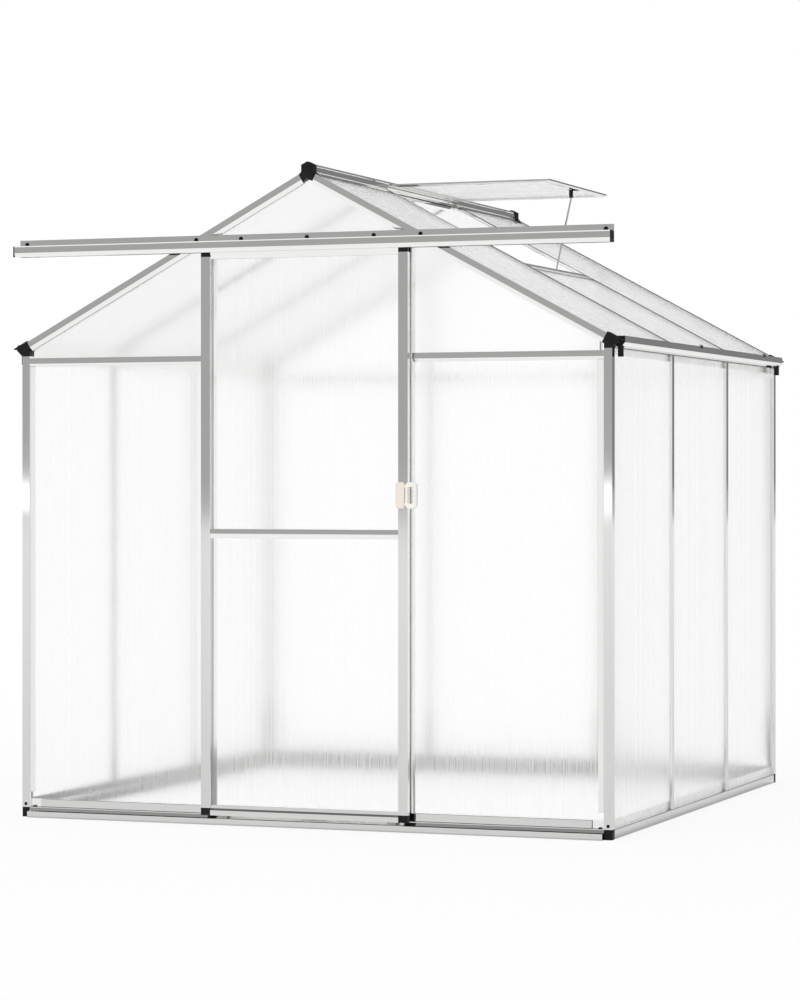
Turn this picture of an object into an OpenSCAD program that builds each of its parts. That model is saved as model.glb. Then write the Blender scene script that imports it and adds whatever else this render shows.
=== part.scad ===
// Walk-in greenhouse: aluminium frame, twin-wall sheet glazing, sliding door, one roof vent.
// Origin on the ground under the middle of the whole thing; +X right, +Y to the back, +Z up.

/* [Building] */
// Width over the corner posts
width = 1900; // [1600:10:2600]
// Depth over the corner posts
depth = 1920; // [1600:10:3000]
// Height of the corner posts above the ground
eave_h = 1420; // [1350:10:1700]
// Slope of the roof, in degrees
roof_pitch = 28.3; // [25:0.1:31]
// Bays along each side wall and each roof slope
side_bays = 3; // [3:1:5]
// Bays across the back wall
back_bays = 3; // [2:1:4]

/* [Frame] */
// Width and depth of a corner post's tube
post_w = 25; // [23:1:32]
// Height of the base rails
base_h = 30; // [26:1:40]
// Height of the lip on top of a base rail
base_lip_h = 26; // [18:1:30]
// Thickness of the lips and wings that hold the sheets
lip_t = 2; // [1.6:0.1:2.4]
// Width of the wing on a corner post
wing_w = 18; // [12:1:24]
// How far the posts' wings stop above the base rails
wing_notch = 48; // [34:1:70]
// Width of the cap on a wall stud or roof bar
stud_w = 24; // [18:1:30]
// Thickness of the web between two sheets
web_t = 2; // [1.6:0.1:3]
// Depth of a stud's stem inside the wall
stem_d = 13; // [8:1:14]
// Width of a rafter's face on the gable
rafter_face = 31; // [28:1:38]
// Height of the eave rails across the gables
rail_h = 26; // [24:1:34]
// How far the top of the eave rails lies below the post tops
rail_drop = 6; // [4:1:12]
// Height of the slanted lip under a rail
rail_lip_h = 9; // [5:1:11]

/* [Sheets] */
// Thickness of a twin-wall sheet
sheet_t = 4; // [4:0.5:6]
// How far the sheets lie behind the frame's outer face
glaze_set = 5; // [5:0.5:7]
// Clearance around a sheet in its seat
sheet_gap = 0.3; // [0.2:0.1:0.6]
// How far a sheet's edge reaches into a slot
sheet_edge = 7; // [5:0.5:8]

/* [Gutters] */
// How far a gutter stands out from the wall
gutter_out = 30; // [26:1:45]
// Height of the gutter's outer rim above the post tops
gutter_rim = 36; // [32:1:44]
// Height of the gutter's floor above the post tops
gutter_floor = 6; // [5:1:10]
// Thickness of the gutter's metal
gutter_t = 2; // [1.6:0.1:3]
// Outer diameter of a downspout
spout_d = 17; // [14:1:20]
// Length of a downspout
spout_l = 30; // [20:1:60]

/* [Ridge] */
// Width of the ridge beam
ridge_w = 39; // [36:1:48]
// Height of the ridge beam's top above the roof's apex line
ridge_rise = 20; // [16:1:28]
// How far the plastic caps stand proud of the metal
cap_proud = 4; // [2:0.5:6]

/* [Doorway] */
// Clear width between the door jambs
door_clear = 610; // [560:5:700]
// Face width of a door jamb
jamb_w = 30; // [24:1:36]
// Height of the header over the doorway
header_h = 26; // [24:1:40]
// Space between the header and the rafters, at the jambs
head_room = 17; // [12:1:40]
// Thickness of the tracks' metal
track_t = 2; // [1.6:0.1:2.4]
// Height of the top track's channel
track_h = 33; // [32:1:40]
// Height of the flange that fixes the top track
track_flange = 20; // [14:1:26]
// How far the top track passes each corner of the frame
track_over = 6; // [0:1:30]
// Height of the bottom track's front lip
sill_lip_h = 19; // [14:1:22]

/* [Door] */
// How far the door overlaps each jamb
door_lap = 27.5; // [20:0.5:29]
// Thickness of the door frame
door_d = 16; // [14:1:16]
// Gap between the door and the frame behind it
door_gap = 16; // [16:1:18]
// Height of the door's lower edge above the ground
door_foot = 30; // [27:1:32]
// Face width of the door's stiles
stile_w = 30; // [24:1:36]
// Height of the door's middle rail
door_rail_h = 28; // [24:1:34]
// Height of the door's bottom rail
door_foot_rail_h = 31; // [28:1:40]
// Clearance between the moving door and the fixed metal
run_gap = 5; // [5:0.5:6]
// Diameter of a door roller
roller_d = 14; // [12:0.5:15]
// Radius of a roller's pin
pin_r = 2; // [1.5:0.1:2.5]
// Height of the handle's middle above the door's middle rail
handle_rise = 116; // [60:1:300]
// Height of the handle
handle_h = 78; // [60:1:110]
// How far the handle stands in front of the door
handle_d = 16; // [12:1:30]

/* [Vent] */
// Length of the vent sash, from hinge to free edge
vent_l = 522; // [400:1:600]
// Thickness of the sash frame
sash_t = 12; // [10:0.5:16]
// Face width of the sash frame
sash_w = 20; // [14:1:28]
// Angle between the open sash and the roof, in degrees
vent_lift = 28.3; // [15:0.1:45]
// Diameter of the stay rod
stay_d = 6; // [4:0.5:8]

/* [Hidden] */
$fn = 48;

metal = [0.74, 0.74, 0.73];
plastic = [0.07, 0.07, 0.07];
cream = [0.93, 0.89, 0.84];
sheet = [0.95, 0.96, 0.95];
touch = 0.01;

// Half sizes of the frame and the outline of the whole thing
hw = width / 2;
hd = depth / 2;
front_reach = door_gap + door_d + handle_d;
centre_shift = front_reach / 2;

// Planes of a sheet behind the outer face, counted inwards
sheet_in = glaze_set + sheet_t;
lip_out = sheet_in + sheet_gap;
lip_in = lip_out + lip_t;
slot_out = glaze_set - sheet_gap;

// The roof: apex of its outer line, and heights of that line and of the rafters' lower edge
apex_z = eave_h + hw * tan(roof_pitch) + rafter_face / cos(roof_pitch);
function roof_line(x) = apex_z - abs(x) * tan(roof_pitch);
function rafter_low(x) = roof_line(x) - rafter_face / cos(roof_pitch);
// Distance down the slope at which a point n below the roof line stands at x
function slope_at(x, n) = (x + n * sin(roof_pitch)) / cos(roof_pitch);

// Rafters and plastic corner pieces
rafter_d = post_w;
corner_d = post_w + 2;
corner_stop = 17;
beam_lip_h = rail_drop + 13;
leg_out = ridge_w / 2 + 8;
end_cap_t = 4;
gutter_end = hd - corner_d - end_cap_t;
rafter_top_s = leg_out / cos(roof_pitch);
rafter_low_s = (hw - corner_stop) / cos(roof_pitch);

// Eave rails across the gables
rail_top = eave_h - rail_drop;
rail_low = rail_top - rail_h;

// Bays
side_pitch = depth / side_bays;
back_pitch = width / back_bays;
function side_y(i) = -hd + i * side_pitch;
function back_x(i) = -hw + i * back_pitch;

// Ridge beam
ridge_hw = ridge_w / 2;
ridge_top = apex_z + ridge_rise;
ridge_web_hw = 5;
ridge_heel_hw = 15;

// Sheets on the roof reach from inside the ridge beam to just over the gutter
roof_sheet_top_x = ridge_web_hw + 3;
roof_sheet_low_x = hw + 4;

// Doorway and jambs
jamb_in = door_clear / 2;
jamb_out = jamb_in + jamb_w;
door_head = rafter_low(jamb_in) - header_h - head_room;
guide_t = 3;
track_lean = 3;
track_d = door_gap + door_d + run_gap + track_lean + track_t;
sill_d = 2 * track_t + guide_t + 2 * run_gap;
track_top = door_head + track_h;
track_hl = hw + track_over;
track_lip_h = 12;
sill_flange_short = 38;

// Door
door_hw = jamb_in + door_lap;
door_back = -hd - door_gap;
door_front = door_back - door_d;
door_top = door_head + 1;
rail_in = door_hw - stile_w;
door_cap_h = door_foot_rail_h - sheet_edge - 2;
door_head_cap_h = 15;
door_mid = (door_back + door_front) / 2;
mid_rail_z = (door_foot + door_top) / 2;
handle_z = mid_rail_z + handle_rise;
ledge_z = door_top + run_gap;
ledge_d = 10;
roller_w = 7;
roller_z = ledge_z + lip_t + sheet_gap + roller_d / 2;
roller_back = -hd - track_t - run_gap / 2;
hanger_inset = 60;
hanger_x = door_hw - hanger_inset;
hanger_w = 30;
hanger_t = 3;
pin_gap = 0.05;

// Vent in the middle bay of the right slope, and the bar under its free edge
vent_bay = ceil(side_bays / 2);
vent_mid = side_y(vent_bay) - side_pitch / 2;
vent_side_gap = 8;
vent_hw = side_pitch / 2 - stud_w / 2 - vent_side_gap;
bead_r = 3.5;
hinge_arm_t = 2;
hinge_x = ridge_hw + bead_r + 1;
hinge_z = apex_z + ridge_rise / 3;
sash_x0 = bead_r + sheet_gap;
sill_w = 22;
sill_depth = 20;
sash_lap = 18;
sill_s = vent_l + hinge_x - sash_lap;

// Both sides of the ridge line, and both ends of the house
module both_sides() {
  children();
  mirror([1, 0, 0]) children();
}
module both_ends() {
  children();
  mirror([0, 1, 0]) children();
}
// Right half of an outline, given from top to bottom, with its mirror image
function with_mirror(half) = concat(half, [
  for (i = [len(half) - 1 : -1 : 0]) if (half[i][0] > 0) [-half[i][0], half[i][1]]
]);

// Puts the house on its origin
module house() {
  translate([0, centre_shift, 0]) children();
}

// Extrudes an outline drawn in X and Z along Y, between two places
module along_y(y0, y1) {
  translate([0, y1, 0]) rotate([90, 0, 0]) linear_extrude(y1 - y0) children();
}

// Extrudes an outline drawn in Y and Z along X, between two places
module along_x(x0, x1) {
  translate([x0, 0, 0]) rotate([90, 0, 90]) linear_extrude(x1 - x0) children();
}

// A box from one corner to the other
module block(from, to) {
  translate(from) cube(to - from);
}

// The right slope's own frame: X down the slope, Z out of the roof line
module on_slope() {
  translate([0, 0, apex_z]) rotate([0, roof_pitch, 0]) children();
}

// Rectangle with rounded corners
module round_rect(size, r) {
  translate([r, 0]) square([size[0] - 2 * r, size[1]]);
  translate([0, r]) square([size[0], size[1] - 2 * r]);
  for (x = [r, size[0] - r], y = [r, size[1] - r]) translate([x, y]) circle(r);
}

// ---- Base ----

// Section of a base rail: outer face at 0, inside to the left
module base_body_outline() {
  translate([-post_w, 0]) round_rect([post_w, base_h], 3);
}
module base_lip_outline() {
  translate([-lip_in, base_h - 1]) square([lip_t, base_lip_h + 1]);
}

module side_base_rail() {
  translate([hw, 0, 0]) along_y(-hd + post_w, hd - post_w) {
    base_body_outline();
    base_lip_outline();
  }
}

// Rail across the back, drawn with its outer face towards +Y
module cross_base_rail() {
  translate([0, hd, 0]) along_x(-hw + post_w, hw - post_w) base_body_outline();
}

module base_right_rail() { house() color(metal) side_base_rail(); }
module base_left_rail() { house() color(metal) mirror([1, 0, 0]) side_base_rail(); }

module base_back_rail() {
  house() color(metal) {
    cross_base_rail();
    translate([0, hd, 0]) along_x(-hw + post_w, hw - post_w) base_lip_outline();
  }
}

// The front rail has its lip only beside the doorway
module base_front_rail() {
  house() color(metal) mirror([0, 1, 0]) {
    cross_base_rail();
    both_sides() translate([0, hd, 0]) along_x(jamb_out, hw - post_w) base_lip_outline();
  }
}

module base_corners() {
  house() color(plastic) both_ends() both_sides()
    translate([hw - post_w, hd - post_w, 0]) linear_extrude(base_h) round_rect([post_w, post_w], 2);
}

// ---- Posts, jambs and studs ----

// Corner post at the back right; its wings hold the sheets' edges
module corner_post() {
  block([hw - post_w, hd - post_w, base_h], [hw, hd, eave_h]);
  wing_foot = base_h + wing_notch;
  // Wing over the gable sheet
  block([hw - post_w - wing_w, hd - slot_out, wing_foot],
        [hw - post_w + touch, hd - slot_out + lip_t, rail_low]);
  // Wing behind the side sheet
  block([hw - lip_in, hd - post_w - wing_w, wing_foot],
        [hw - lip_out, hd - post_w + touch, rail_low]);
}

module corner_posts() { house() color(metal) both_ends() both_sides() corner_post(); }

// Jambs stand on the base rail and are cut to the slope under the rafters
module door_jambs() {
  house() color(metal) both_sides() difference() {
    along_y(-hd, -hd + post_w) polygon([
      [jamb_in, base_h], [jamb_out, base_h],
      [jamb_out, rafter_low(jamb_out)], [jamb_in, rafter_low(jamb_in)]
    ]);
    // Room for the bottom track's flange
    block([jamb_in - 1, -hd - 1, base_h - 1],
          [jamb_out + 1, -hd + glaze_set, base_h + base_lip_h + sheet_gap]);
  }
}

// Head of the doorway, with a groove for the small gable sheet above it
module door_header() {
  house() color(metal) along_x(-jamb_in, jamb_in) difference() {
    translate([-hd, door_head]) square([post_w, header_h]);
    translate([-hd + slot_out, door_head + header_h - sheet_edge - 1])
      square([sheet_t + 2 * sheet_gap, sheet_edge + 2]);
  }
}

// Section of an eave rail: outer face at 0, with a slot above and below for the sheets
module rail_outline() {
  slot_w = sheet_t + 2 * sheet_gap;
  rail_lip_in = slot_out - 0.7;
  difference() {
    polygon([
      [0, rail_top], [0, rail_low + rail_lip_h], [-rail_lip_in, rail_low],
      [-post_w, rail_low], [-post_w, rail_top]
    ]);
    for (z = [rail_low - 1, rail_top - sheet_edge - 1])
      translate([-lip_out, z]) square([slot_w, sheet_edge + 2]);
  }
}

module back_eave_rail() {
  house() color(metal) translate([0, hd, 0]) along_x(-hw + post_w, hw - post_w) rail_outline();
}
module front_eave_rails() {
  house() color(metal) mirror([0, 1, 0]) both_sides()
    translate([0, hd, 0]) along_x(jamb_out, hw - post_w) rail_outline();
}

// Sections of a stud: cap outside, web between two sheets, and a T inside
module stud_cap_outline() {
  translate([-slot_out, -stud_w / 2]) square([slot_out, stud_w]);
  translate([-lip_out, -web_t / 2]) square([lip_out - slot_out + touch, web_t]);
}
module stud_tee_outline() {
  translate([-lip_in, -stud_w / 2]) square([lip_t, stud_w]);
  translate([-lip_in - stem_d, -web_t / 2]) square([stem_d + touch, web_t]);
}

// Upright stud with its outer face towards +X, between two heights
module stud(z0, z1, foot, head) {
  translate([0, 0, z0]) linear_extrude(z1 - z0) stud_cap_outline();
  translate([0, 0, z0 + foot]) linear_extrude(z1 - z0 - foot - head) {
    stud_tee_outline();
    translate([-lip_in + touch, -web_t / 2]) square([lip_in - slot_out, web_t]);
  }
}

module side_studs() {
  house() color(metal) both_sides() for (i = [1 : side_bays - 1])
    translate([hw, side_y(i), 0]) stud(base_h, eave_h, base_lip_h, beam_lip_h);
}

// Back studs run from the base rail to the eave rail, and again up to the rafters
module back_studs() {
  house() color(metal) for (i = [1 : back_bays - 1]) {
    translate([back_x(i), hd, 0]) rotate([0, 0, 90]) stud(base_h, rail_low, base_lip_h, 0);
    difference() {
      translate([back_x(i), hd, 0]) rotate([0, 0, 90]) stud(rail_top, apex_z, 0, 0);
      along_y(hd - 2 * post_w, hd + 1) polygon([
        [-hw, rafter_low(hw)], [0, rafter_low(0)], [hw, rafter_low(hw)],
        [hw, apex_z + 1], [-hw, apex_z + 1]
      ]);
    }
  }
}

// ---- Eaves and gutters ----

// Height of the seat under the roof sheets at x
function seat_z(x) = roof_line(x) - lip_out / cos(roof_pitch);

// Eave beam on top of the side wall, cut to the slope; a lip inside holds the side sheets
module eave_beam() {
  along_y(-gutter_end, gutter_end) {
    polygon([
      [hw - post_w, eave_h], [hw, eave_h], [hw, seat_z(hw)], [hw - post_w, seat_z(hw - post_w)]
    ]);
    translate([hw - lip_in, eave_h - beam_lip_h]) square([lip_t, beam_lip_h + 1]);
  }
}
module eave_beams() { house() color(metal) both_sides() eave_beam(); }

// Gutter against the beam's outer face, open at the top; the roof sheets end over it
gutter_chamfer = 11;
module gutter_outline() {
  bottom = eave_h + gutter_floor;
  top = eave_h + gutter_rim;
  out = hw + gutter_out;
  in_chamfer = gutter_chamfer + gutter_t * (1 - sqrt(2));
  wall = hw + gutter_t;
  polygon([
    [hw, bottom], [out - gutter_chamfer, bottom], [out, bottom + gutter_chamfer], [out, top],
    [out - gutter_t, top], [out - gutter_t, bottom + gutter_t + in_chamfer],
    [out - gutter_t - in_chamfer, bottom + gutter_t], [wall, bottom + gutter_t],
    [wall, seat_z(wall)], [hw, seat_z(hw)]
  ]);
}
spout_past = 3;
spout_inset = 10;
spout_x = hw + gutter_out - gutter_chamfer + spout_past - spout_d / 2;
spout_y = gutter_end - spout_inset;
module gutters() {
  house() color(metal) both_sides() difference() {
    along_y(-gutter_end, gutter_end) gutter_outline();
    // Outlets into the downspouts
    both_ends() translate([spout_x, spout_y, eave_h])
      cylinder(r = spout_d / 2 - gutter_t, h = gutter_floor + gutter_t + 1);
  }
}

module downspouts() {
  flange_t = 2;
  flange_w = 2.5;
  house() color(plastic) both_ends() both_sides()
    translate([spout_x, spout_y, eave_h + gutter_floor - spout_l]) difference() {
      union() {
        cylinder(d = spout_d, h = spout_l);
        translate([0, 0, spout_l - flange_t]) cylinder(r = spout_d / 2 + flange_w, h = flange_t);
      }
      translate([0, 0, -1]) cylinder(r = spout_d / 2 - gutter_t, h = spout_l + 2);
    }
}

// Strip under or over the roof line, from the inner to the outer wall, in X and Z
module slope_strip(n_low, n_high, x0, x1) {
  low = n_low / cos(roof_pitch);
  high = n_high / cos(roof_pitch);
  polygon([
    [x0, roof_line(x0) + low], [x1, roof_line(x1) + low],
    [x1, roof_line(x1) + high], [x0, roof_line(x0) + high]
  ]);
}

// Plastic piece that joins post, rafter, beam and gutter, drawn at the back right
module eave_corner() {
  top_x = hw - corner_stop;
  toe_x = top_x - rafter_face * sin(roof_pitch);
  cap = cap_proud / cos(roof_pitch);
  difference() {
    along_y(hd - corner_d, hd) polygon([
      [hw - post_w, eave_h], [hw, eave_h], [hw, roof_line(hw) + cap],
      [top_x + 2, roof_line(top_x + 2) + cap], [top_x, roof_line(top_x)],
      [toe_x, rafter_low(toe_x)], [hw - post_w, rafter_low(hw - post_w)]
    ]);
    // The corner of the roof sheet lies in this slot
    along_y(hd - corner_d - 1, hd - lip_t)
      slope_strip(-lip_out, -slot_out, hw - 2 * post_w, hw + post_w);
  }
  // End plate of the eave beam and the gutter, with room for the sheet's lower end
  along_y(hd - corner_d - end_cap_t, hd - corner_d + touch) {
    polygon([
      [hw - post_w, eave_h], [hw + touch, eave_h],
      [hw + touch, seat_z(hw)], [hw - post_w, seat_z(hw - post_w)]
    ]);
    difference() {
      polygon([
        [hw, eave_h + gutter_floor], [hw + gutter_out - gutter_chamfer, eave_h + gutter_floor],
        [hw + gutter_out, eave_h + gutter_floor + gutter_chamfer],
        [hw + gutter_out, eave_h + gutter_rim], [hw, eave_h + gutter_rim]
      ]);
      slope_strip(-lip_out, 2 * cap_proud, hw - 1, roof_sheet_low_x + 2);
    }
  }
}
module eave_corners() { house() color(plastic) both_ends() both_sides() eave_corner(); }

// ---- Ridge, rafters and roof bars ----

// Height of the underside of what lies over the roof sheets at x
function cover_z(x) = roof_line(x) - slot_out / cos(roof_pitch);

// Wings over the sheets' upper edges, a web between them and a heel below
module ridge_outline() {
  step = 3;
  band_h = 9;
  heel_h = 8;
  heel_z = seat_z(ridge_heel_hw);
  polygon(with_mirror([
    // Rounded top and stepped side of a wing
    [0, ridge_top], [ridge_hw - 3 * step, ridge_top - step],
    [ridge_hw - step, ridge_top - 3 * step], [ridge_hw - step, cover_z(ridge_hw) + band_h + step],
    [ridge_hw, cover_z(ridge_hw) + band_h], [ridge_hw, cover_z(ridge_hw)],
    // Slot for the sheet, then the heel below it
    [ridge_web_hw, cover_z(ridge_web_hw)], [ridge_web_hw, seat_z(ridge_web_hw)],
    [ridge_heel_hw, heel_z], [ridge_heel_hw, heel_z - heel_h], [0, heel_z - heel_h - step]
  ]));
}

module ridge_beam() {
  house() color(metal) along_y(-hd + corner_d, hd - corner_d) ridge_outline();
}

// Plastic cap on the ridge's end, with a leg along each rafter
module ridge_cap() {
  leg_h = 24;
  side_x = ridge_hw + 0.5;
  shoulder_z = roof_line(leg_out) + leg_h / 3;
  leg_low_x = leg_out - leg_h * sin(roof_pitch);
  leg_low_z = roof_line(leg_out) - leg_h * cos(roof_pitch);
  difference() {
    along_y(hd - corner_d, hd) polygon(with_mirror([
      [0, ridge_top + cap_proud], [side_x, ridge_top - leg_h / 4], [side_x, shoulder_z],
      [leg_out, roof_line(leg_out)], [leg_low_x, leg_low_z], [0, leg_low_z + leg_h / 3]
    ]));
    both_sides() along_y(hd - corner_d - 1, hd - lip_t)
      slope_strip(-lip_out, -slot_out, ridge_web_hw + 2, 2 * leg_out);
  }
}
module ridge_caps() { house() color(plastic) both_ends() ridge_cap(); }

// Right rafter of the back gable: lip outside, sheet seat on top, slot below for the gable sheet
module rafter() {
  on_slope() translate([rafter_top_s, hd, -rafter_face]) rotate([90, 0, 90])
    linear_extrude(rafter_low_s - rafter_top_s) difference() {
      translate([-rafter_d, 0]) square([rafter_d, rafter_face]);
      translate([-rafter_d - 1, rafter_face - lip_out])
        square([rafter_d - lip_t + 1, lip_out + 1]);
      translate([-lip_out, -1]) square([sheet_t + 2 * sheet_gap, sheet_edge + 2]);
    }
}
module back_rafters() { house() color(metal) both_sides() rafter(); }
module front_rafters() { house() color(metal) mirror([0, 1, 0]) both_sides() rafter(); }

// Roof bars: cap over the sheets, web between them, and a T below
module roof_bar() {
  cap_s0 = slope_at(ridge_hw + sheet_gap, slot_out);
  cap_s1 = slope_at(hw, 0);
  tee_s0 = slope_at(ridge_heel_hw + sheet_gap, lip_in + stem_d);
  tee_s1 = slope_at(hw - post_w - sheet_gap, lip_out);
  on_slope() {
    block([cap_s0, -stud_w / 2, -slot_out], [cap_s1, stud_w / 2, 0]);
    block([tee_s0, -web_t / 2, -lip_out], [cap_s1 - 3, web_t / 2, -slot_out + touch]);
    block([tee_s0, -stud_w / 2, -lip_in], [tee_s1, stud_w / 2, -lip_out]);
    block([tee_s0, -web_t / 2, -lip_in - stem_d], [tee_s1, web_t / 2, -lip_out + touch]);
  }
}
module roof_bars() {
  house() color(metal) both_sides()
    for (i = [1 : side_bays - 1]) translate([0, side_y(i), 0]) roof_bar();
}

// ---- Sheets ----

// Sheet across the front or back, drawn in X and Z with its outer face glaze_set behind +Y
module cross_sheet() {
  along_y(hd - sheet_in, hd - glaze_set) children();
}

module front_wall_sheets() {
  house() color(sheet) mirror([0, 1, 0]) both_sides() cross_sheet()
    translate([jamb_out + sheet_gap, base_h + sheet_gap])
      square([hw - post_w - jamb_out - 2 * sheet_gap,
              rail_low + sheet_edge - base_h - sheet_gap]);
}

// Distance from a bay's line to the edge of the sheet beside it
function back_edge(i) = (i == 0 || i == back_bays) ? post_w + sheet_gap : web_t / 2 + sheet_gap;
function side_edge(i) = (i == 0 || i == side_bays) ? post_w + sheet_gap : web_t / 2 + sheet_gap;
function roof_edge(i) = (i == 0 || i == side_bays) ? lip_t + sheet_gap : web_t / 2 + sheet_gap;

module back_wall_sheets() {
  house() color(sheet) for (i = [1 : back_bays]) {
    x0 = back_x(i - 1) + back_edge(i - 1);
    x1 = back_x(i) - back_edge(i);
    cross_sheet() translate([x0, base_h + sheet_gap])
      square([x1 - x0, rail_low + sheet_edge - base_h - sheet_gap]);
  }
}

// Outline under both rafters, reaching into their slots
module gable_outline() {
  reach = (sheet_edge - 1) / cos(roof_pitch);
  polygon([
    [-hw, 0], [hw, 0], [hw, rafter_low(hw) + reach],
    [0, rafter_low(0) + reach], [-hw, rafter_low(hw) + reach]
  ]);
}

// Part of the gable outline between two uprights
module gable_sheet(x0, x1, foot) {
  cross_sheet() intersection() {
    gable_outline();
    translate([x0, foot]) square([x1 - x0, apex_z]);
  }
}

module front_gable_sheets() {
  side_foot = rail_top - sheet_edge;
  corner_x = hw - post_w - corner_stop;
  house() color(sheet) mirror([0, 1, 0]) {
    both_sides() gable_sheet(jamb_out + sheet_gap, corner_x, side_foot);
    difference() {
      gable_sheet(-jamb_in + sheet_gap, jamb_in - sheet_gap, door_head + header_h - sheet_edge);
      ridge_notch();
    }
  }
}

// Room for the ridge cap's legs in the top of a gable sheet
module ridge_notch() {
  along_y(hd - post_w, hd + 1) translate([-leg_out - 1, rafter_low(leg_out)])
    square([2 * leg_out + 2, 4 * leg_out]);
}

module back_gable_sheets() {
  side_foot = rail_top - sheet_edge;
  corner_x = hw - post_w - corner_stop;
  house() color(sheet) difference() {
    for (i = [1 : back_bays]) {
      x0 = i == 1 ? -corner_x : back_x(i - 1) + web_t / 2 + sheet_gap;
      x1 = i == back_bays ? corner_x : back_x(i) - web_t / 2 - sheet_gap;
      gable_sheet(x0, x1, side_foot);
    }
    ridge_notch();
  }
}

module side_sheets() {
  for (i = [1 : side_bays])
    block([hw - sheet_in, side_y(i - 1) + side_edge(i - 1), base_h + sheet_gap],
          [hw - glaze_set, side_y(i) - side_edge(i), eave_h - sheet_gap]);
}
module right_wall_sheets() { house() color(sheet) side_sheets(); }
module left_wall_sheets() { house() color(sheet) mirror([1, 0, 0]) side_sheets(); }

// One bay of roof sheet, from a distance down the slope to the gutter
module roof_sheet(i, s0) {
  on_slope() block([s0, side_y(i - 1) + roof_edge(i - 1), -sheet_in],
                   [slope_at(roof_sheet_low_x, sheet_in), side_y(i) - roof_edge(i), -glaze_set]);
}
top_s = slope_at(roof_sheet_top_x, sheet_in);
module right_roof_sheets() {
  house() color(sheet) for (i = [1 : side_bays])
    roof_sheet(i, i == vent_bay ? sill_s + sill_w / 2 : top_s);
}
module left_roof_sheets() {
  house() color(sheet) mirror([1, 0, 0]) for (i = [1 : side_bays]) roof_sheet(i, top_s);
}

// ---- Roof vent ----

// Cross bar between two roof bars, with a rebate over the sheet below it
module vent_sill() {
  bay_hw = side_pitch / 2 - stud_w / 2 - sheet_gap;
  house() color(metal) translate([0, vent_mid, 0]) on_slope() {
    block([sill_s, -bay_hw, -slot_out], [sill_s + sill_w, bay_hw, 0]);
    block([sill_s, -bay_hw, -sill_depth],
          [sill_s + sill_w / 2 - sheet_gap, bay_hw, -slot_out + touch]);
    block([sill_s, -bay_hw, -sill_depth], [sill_s + sill_w, bay_hw, -lip_out]);
  }
}

// Frame of the sash's own: X from the hinge to the free edge, turned up from the slope
module on_sash() {
  translate([hinge_x, vent_mid, hinge_z]) rotate([0, roof_pitch - vent_lift, 0]) children();
}

// Bead along the ridge that the sash hooks round
module vent_hinge() {
  house() color(metal) translate([hinge_x, vent_mid, hinge_z]) {
    rotate([90, 0, 0]) cylinder(r = bead_r, h = 2 * vent_hw, center = true);
    block([-hinge_x + ridge_hw - 3, -vent_hw, -hinge_arm_t / 2],
          [-bead_r + 1, vent_hw, hinge_arm_t / 2]);
  }
}

module vent_frame() {
  house() color(metal) on_sash() difference() {
    block([sash_x0, -vent_hw, -sash_t / 2], [vent_l, vent_hw, sash_t / 2]);
    block([sash_x0 + sash_w, -vent_hw + sash_w, -sash_t], [vent_l - sash_w, vent_hw - sash_w, sash_t]);
    block([sash_x0 + sash_w - sheet_edge, -vent_hw + sash_w - sheet_edge, -sheet_t / 2 - sheet_gap],
          [vent_l - sash_w + sheet_edge, vent_hw - sash_w + sheet_edge, sheet_t / 2 + sheet_gap]);
  }
}

module vent_sheet() {
  edge = sheet_edge - sheet_gap;
  house() color(sheet) on_sash()
    block([sash_x0 + sash_w - edge, -vent_hw + sash_w - edge, -sheet_t / 2],
          [vent_l - sash_w + edge, vent_hw - sash_w + edge, sheet_t / 2]);
}

// Bracket under the sash's free edge, and the stay rod from it to the sill
bracket_t = 2;
bracket_h = 25;
eye_inset = 6;
// About how far the rod leans from the upright, which sets the room under its edges
stay_tilt = 13;
stay_eye_x = vent_l - sash_w - eye_inset;
stay_eye_z = -sash_t / 2 - bracket_h - sheet_gap - stay_d / 2 * sin(stay_tilt);
sash_turn = roof_pitch - vent_lift;
stay_top = [
  hinge_x + stay_eye_x * cos(sash_turn) + stay_eye_z * sin(sash_turn),
  hinge_z - stay_eye_x * sin(sash_turn) + stay_eye_z * cos(sash_turn)
];
stay_foot_s = sill_s + sill_w / 4;
stay_foot_n = sheet_gap + stay_d / 2 * sin(roof_pitch + stay_tilt);
stay_foot = [
  stay_foot_s * cos(roof_pitch) + stay_foot_n * sin(roof_pitch),
  apex_z - stay_foot_s * sin(roof_pitch) + stay_foot_n * cos(roof_pitch)
];
stay_l = norm(stay_top - stay_foot);
stay_lean = atan2(stay_top[0] - stay_foot[0], stay_top[1] - stay_foot[1]);

module vent_bracket() {
  lug_w = 12;
  lug_t = 5;
  edge_in = 4;
  lug_x0 = stay_eye_x - lug_w / 2;
  house() color(plastic) on_sash() {
    block([lug_x0, -lug_w, -sash_t / 2 - bracket_t], [vent_l - edge_in, lug_w, -sash_t / 2]);
    block([lug_x0, -lug_t / 2, -sash_t / 2 - bracket_h], [lug_x0 + lug_w, lug_t / 2, -sash_t / 2]);
  }
}

module vent_stay() {
  house() color(metal) translate([stay_foot[0], vent_mid, stay_foot[1]])
    rotate([0, stay_lean, 0]) cylinder(d = stay_d, h = stay_l);
}

// ---- Door tracks ----

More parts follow.
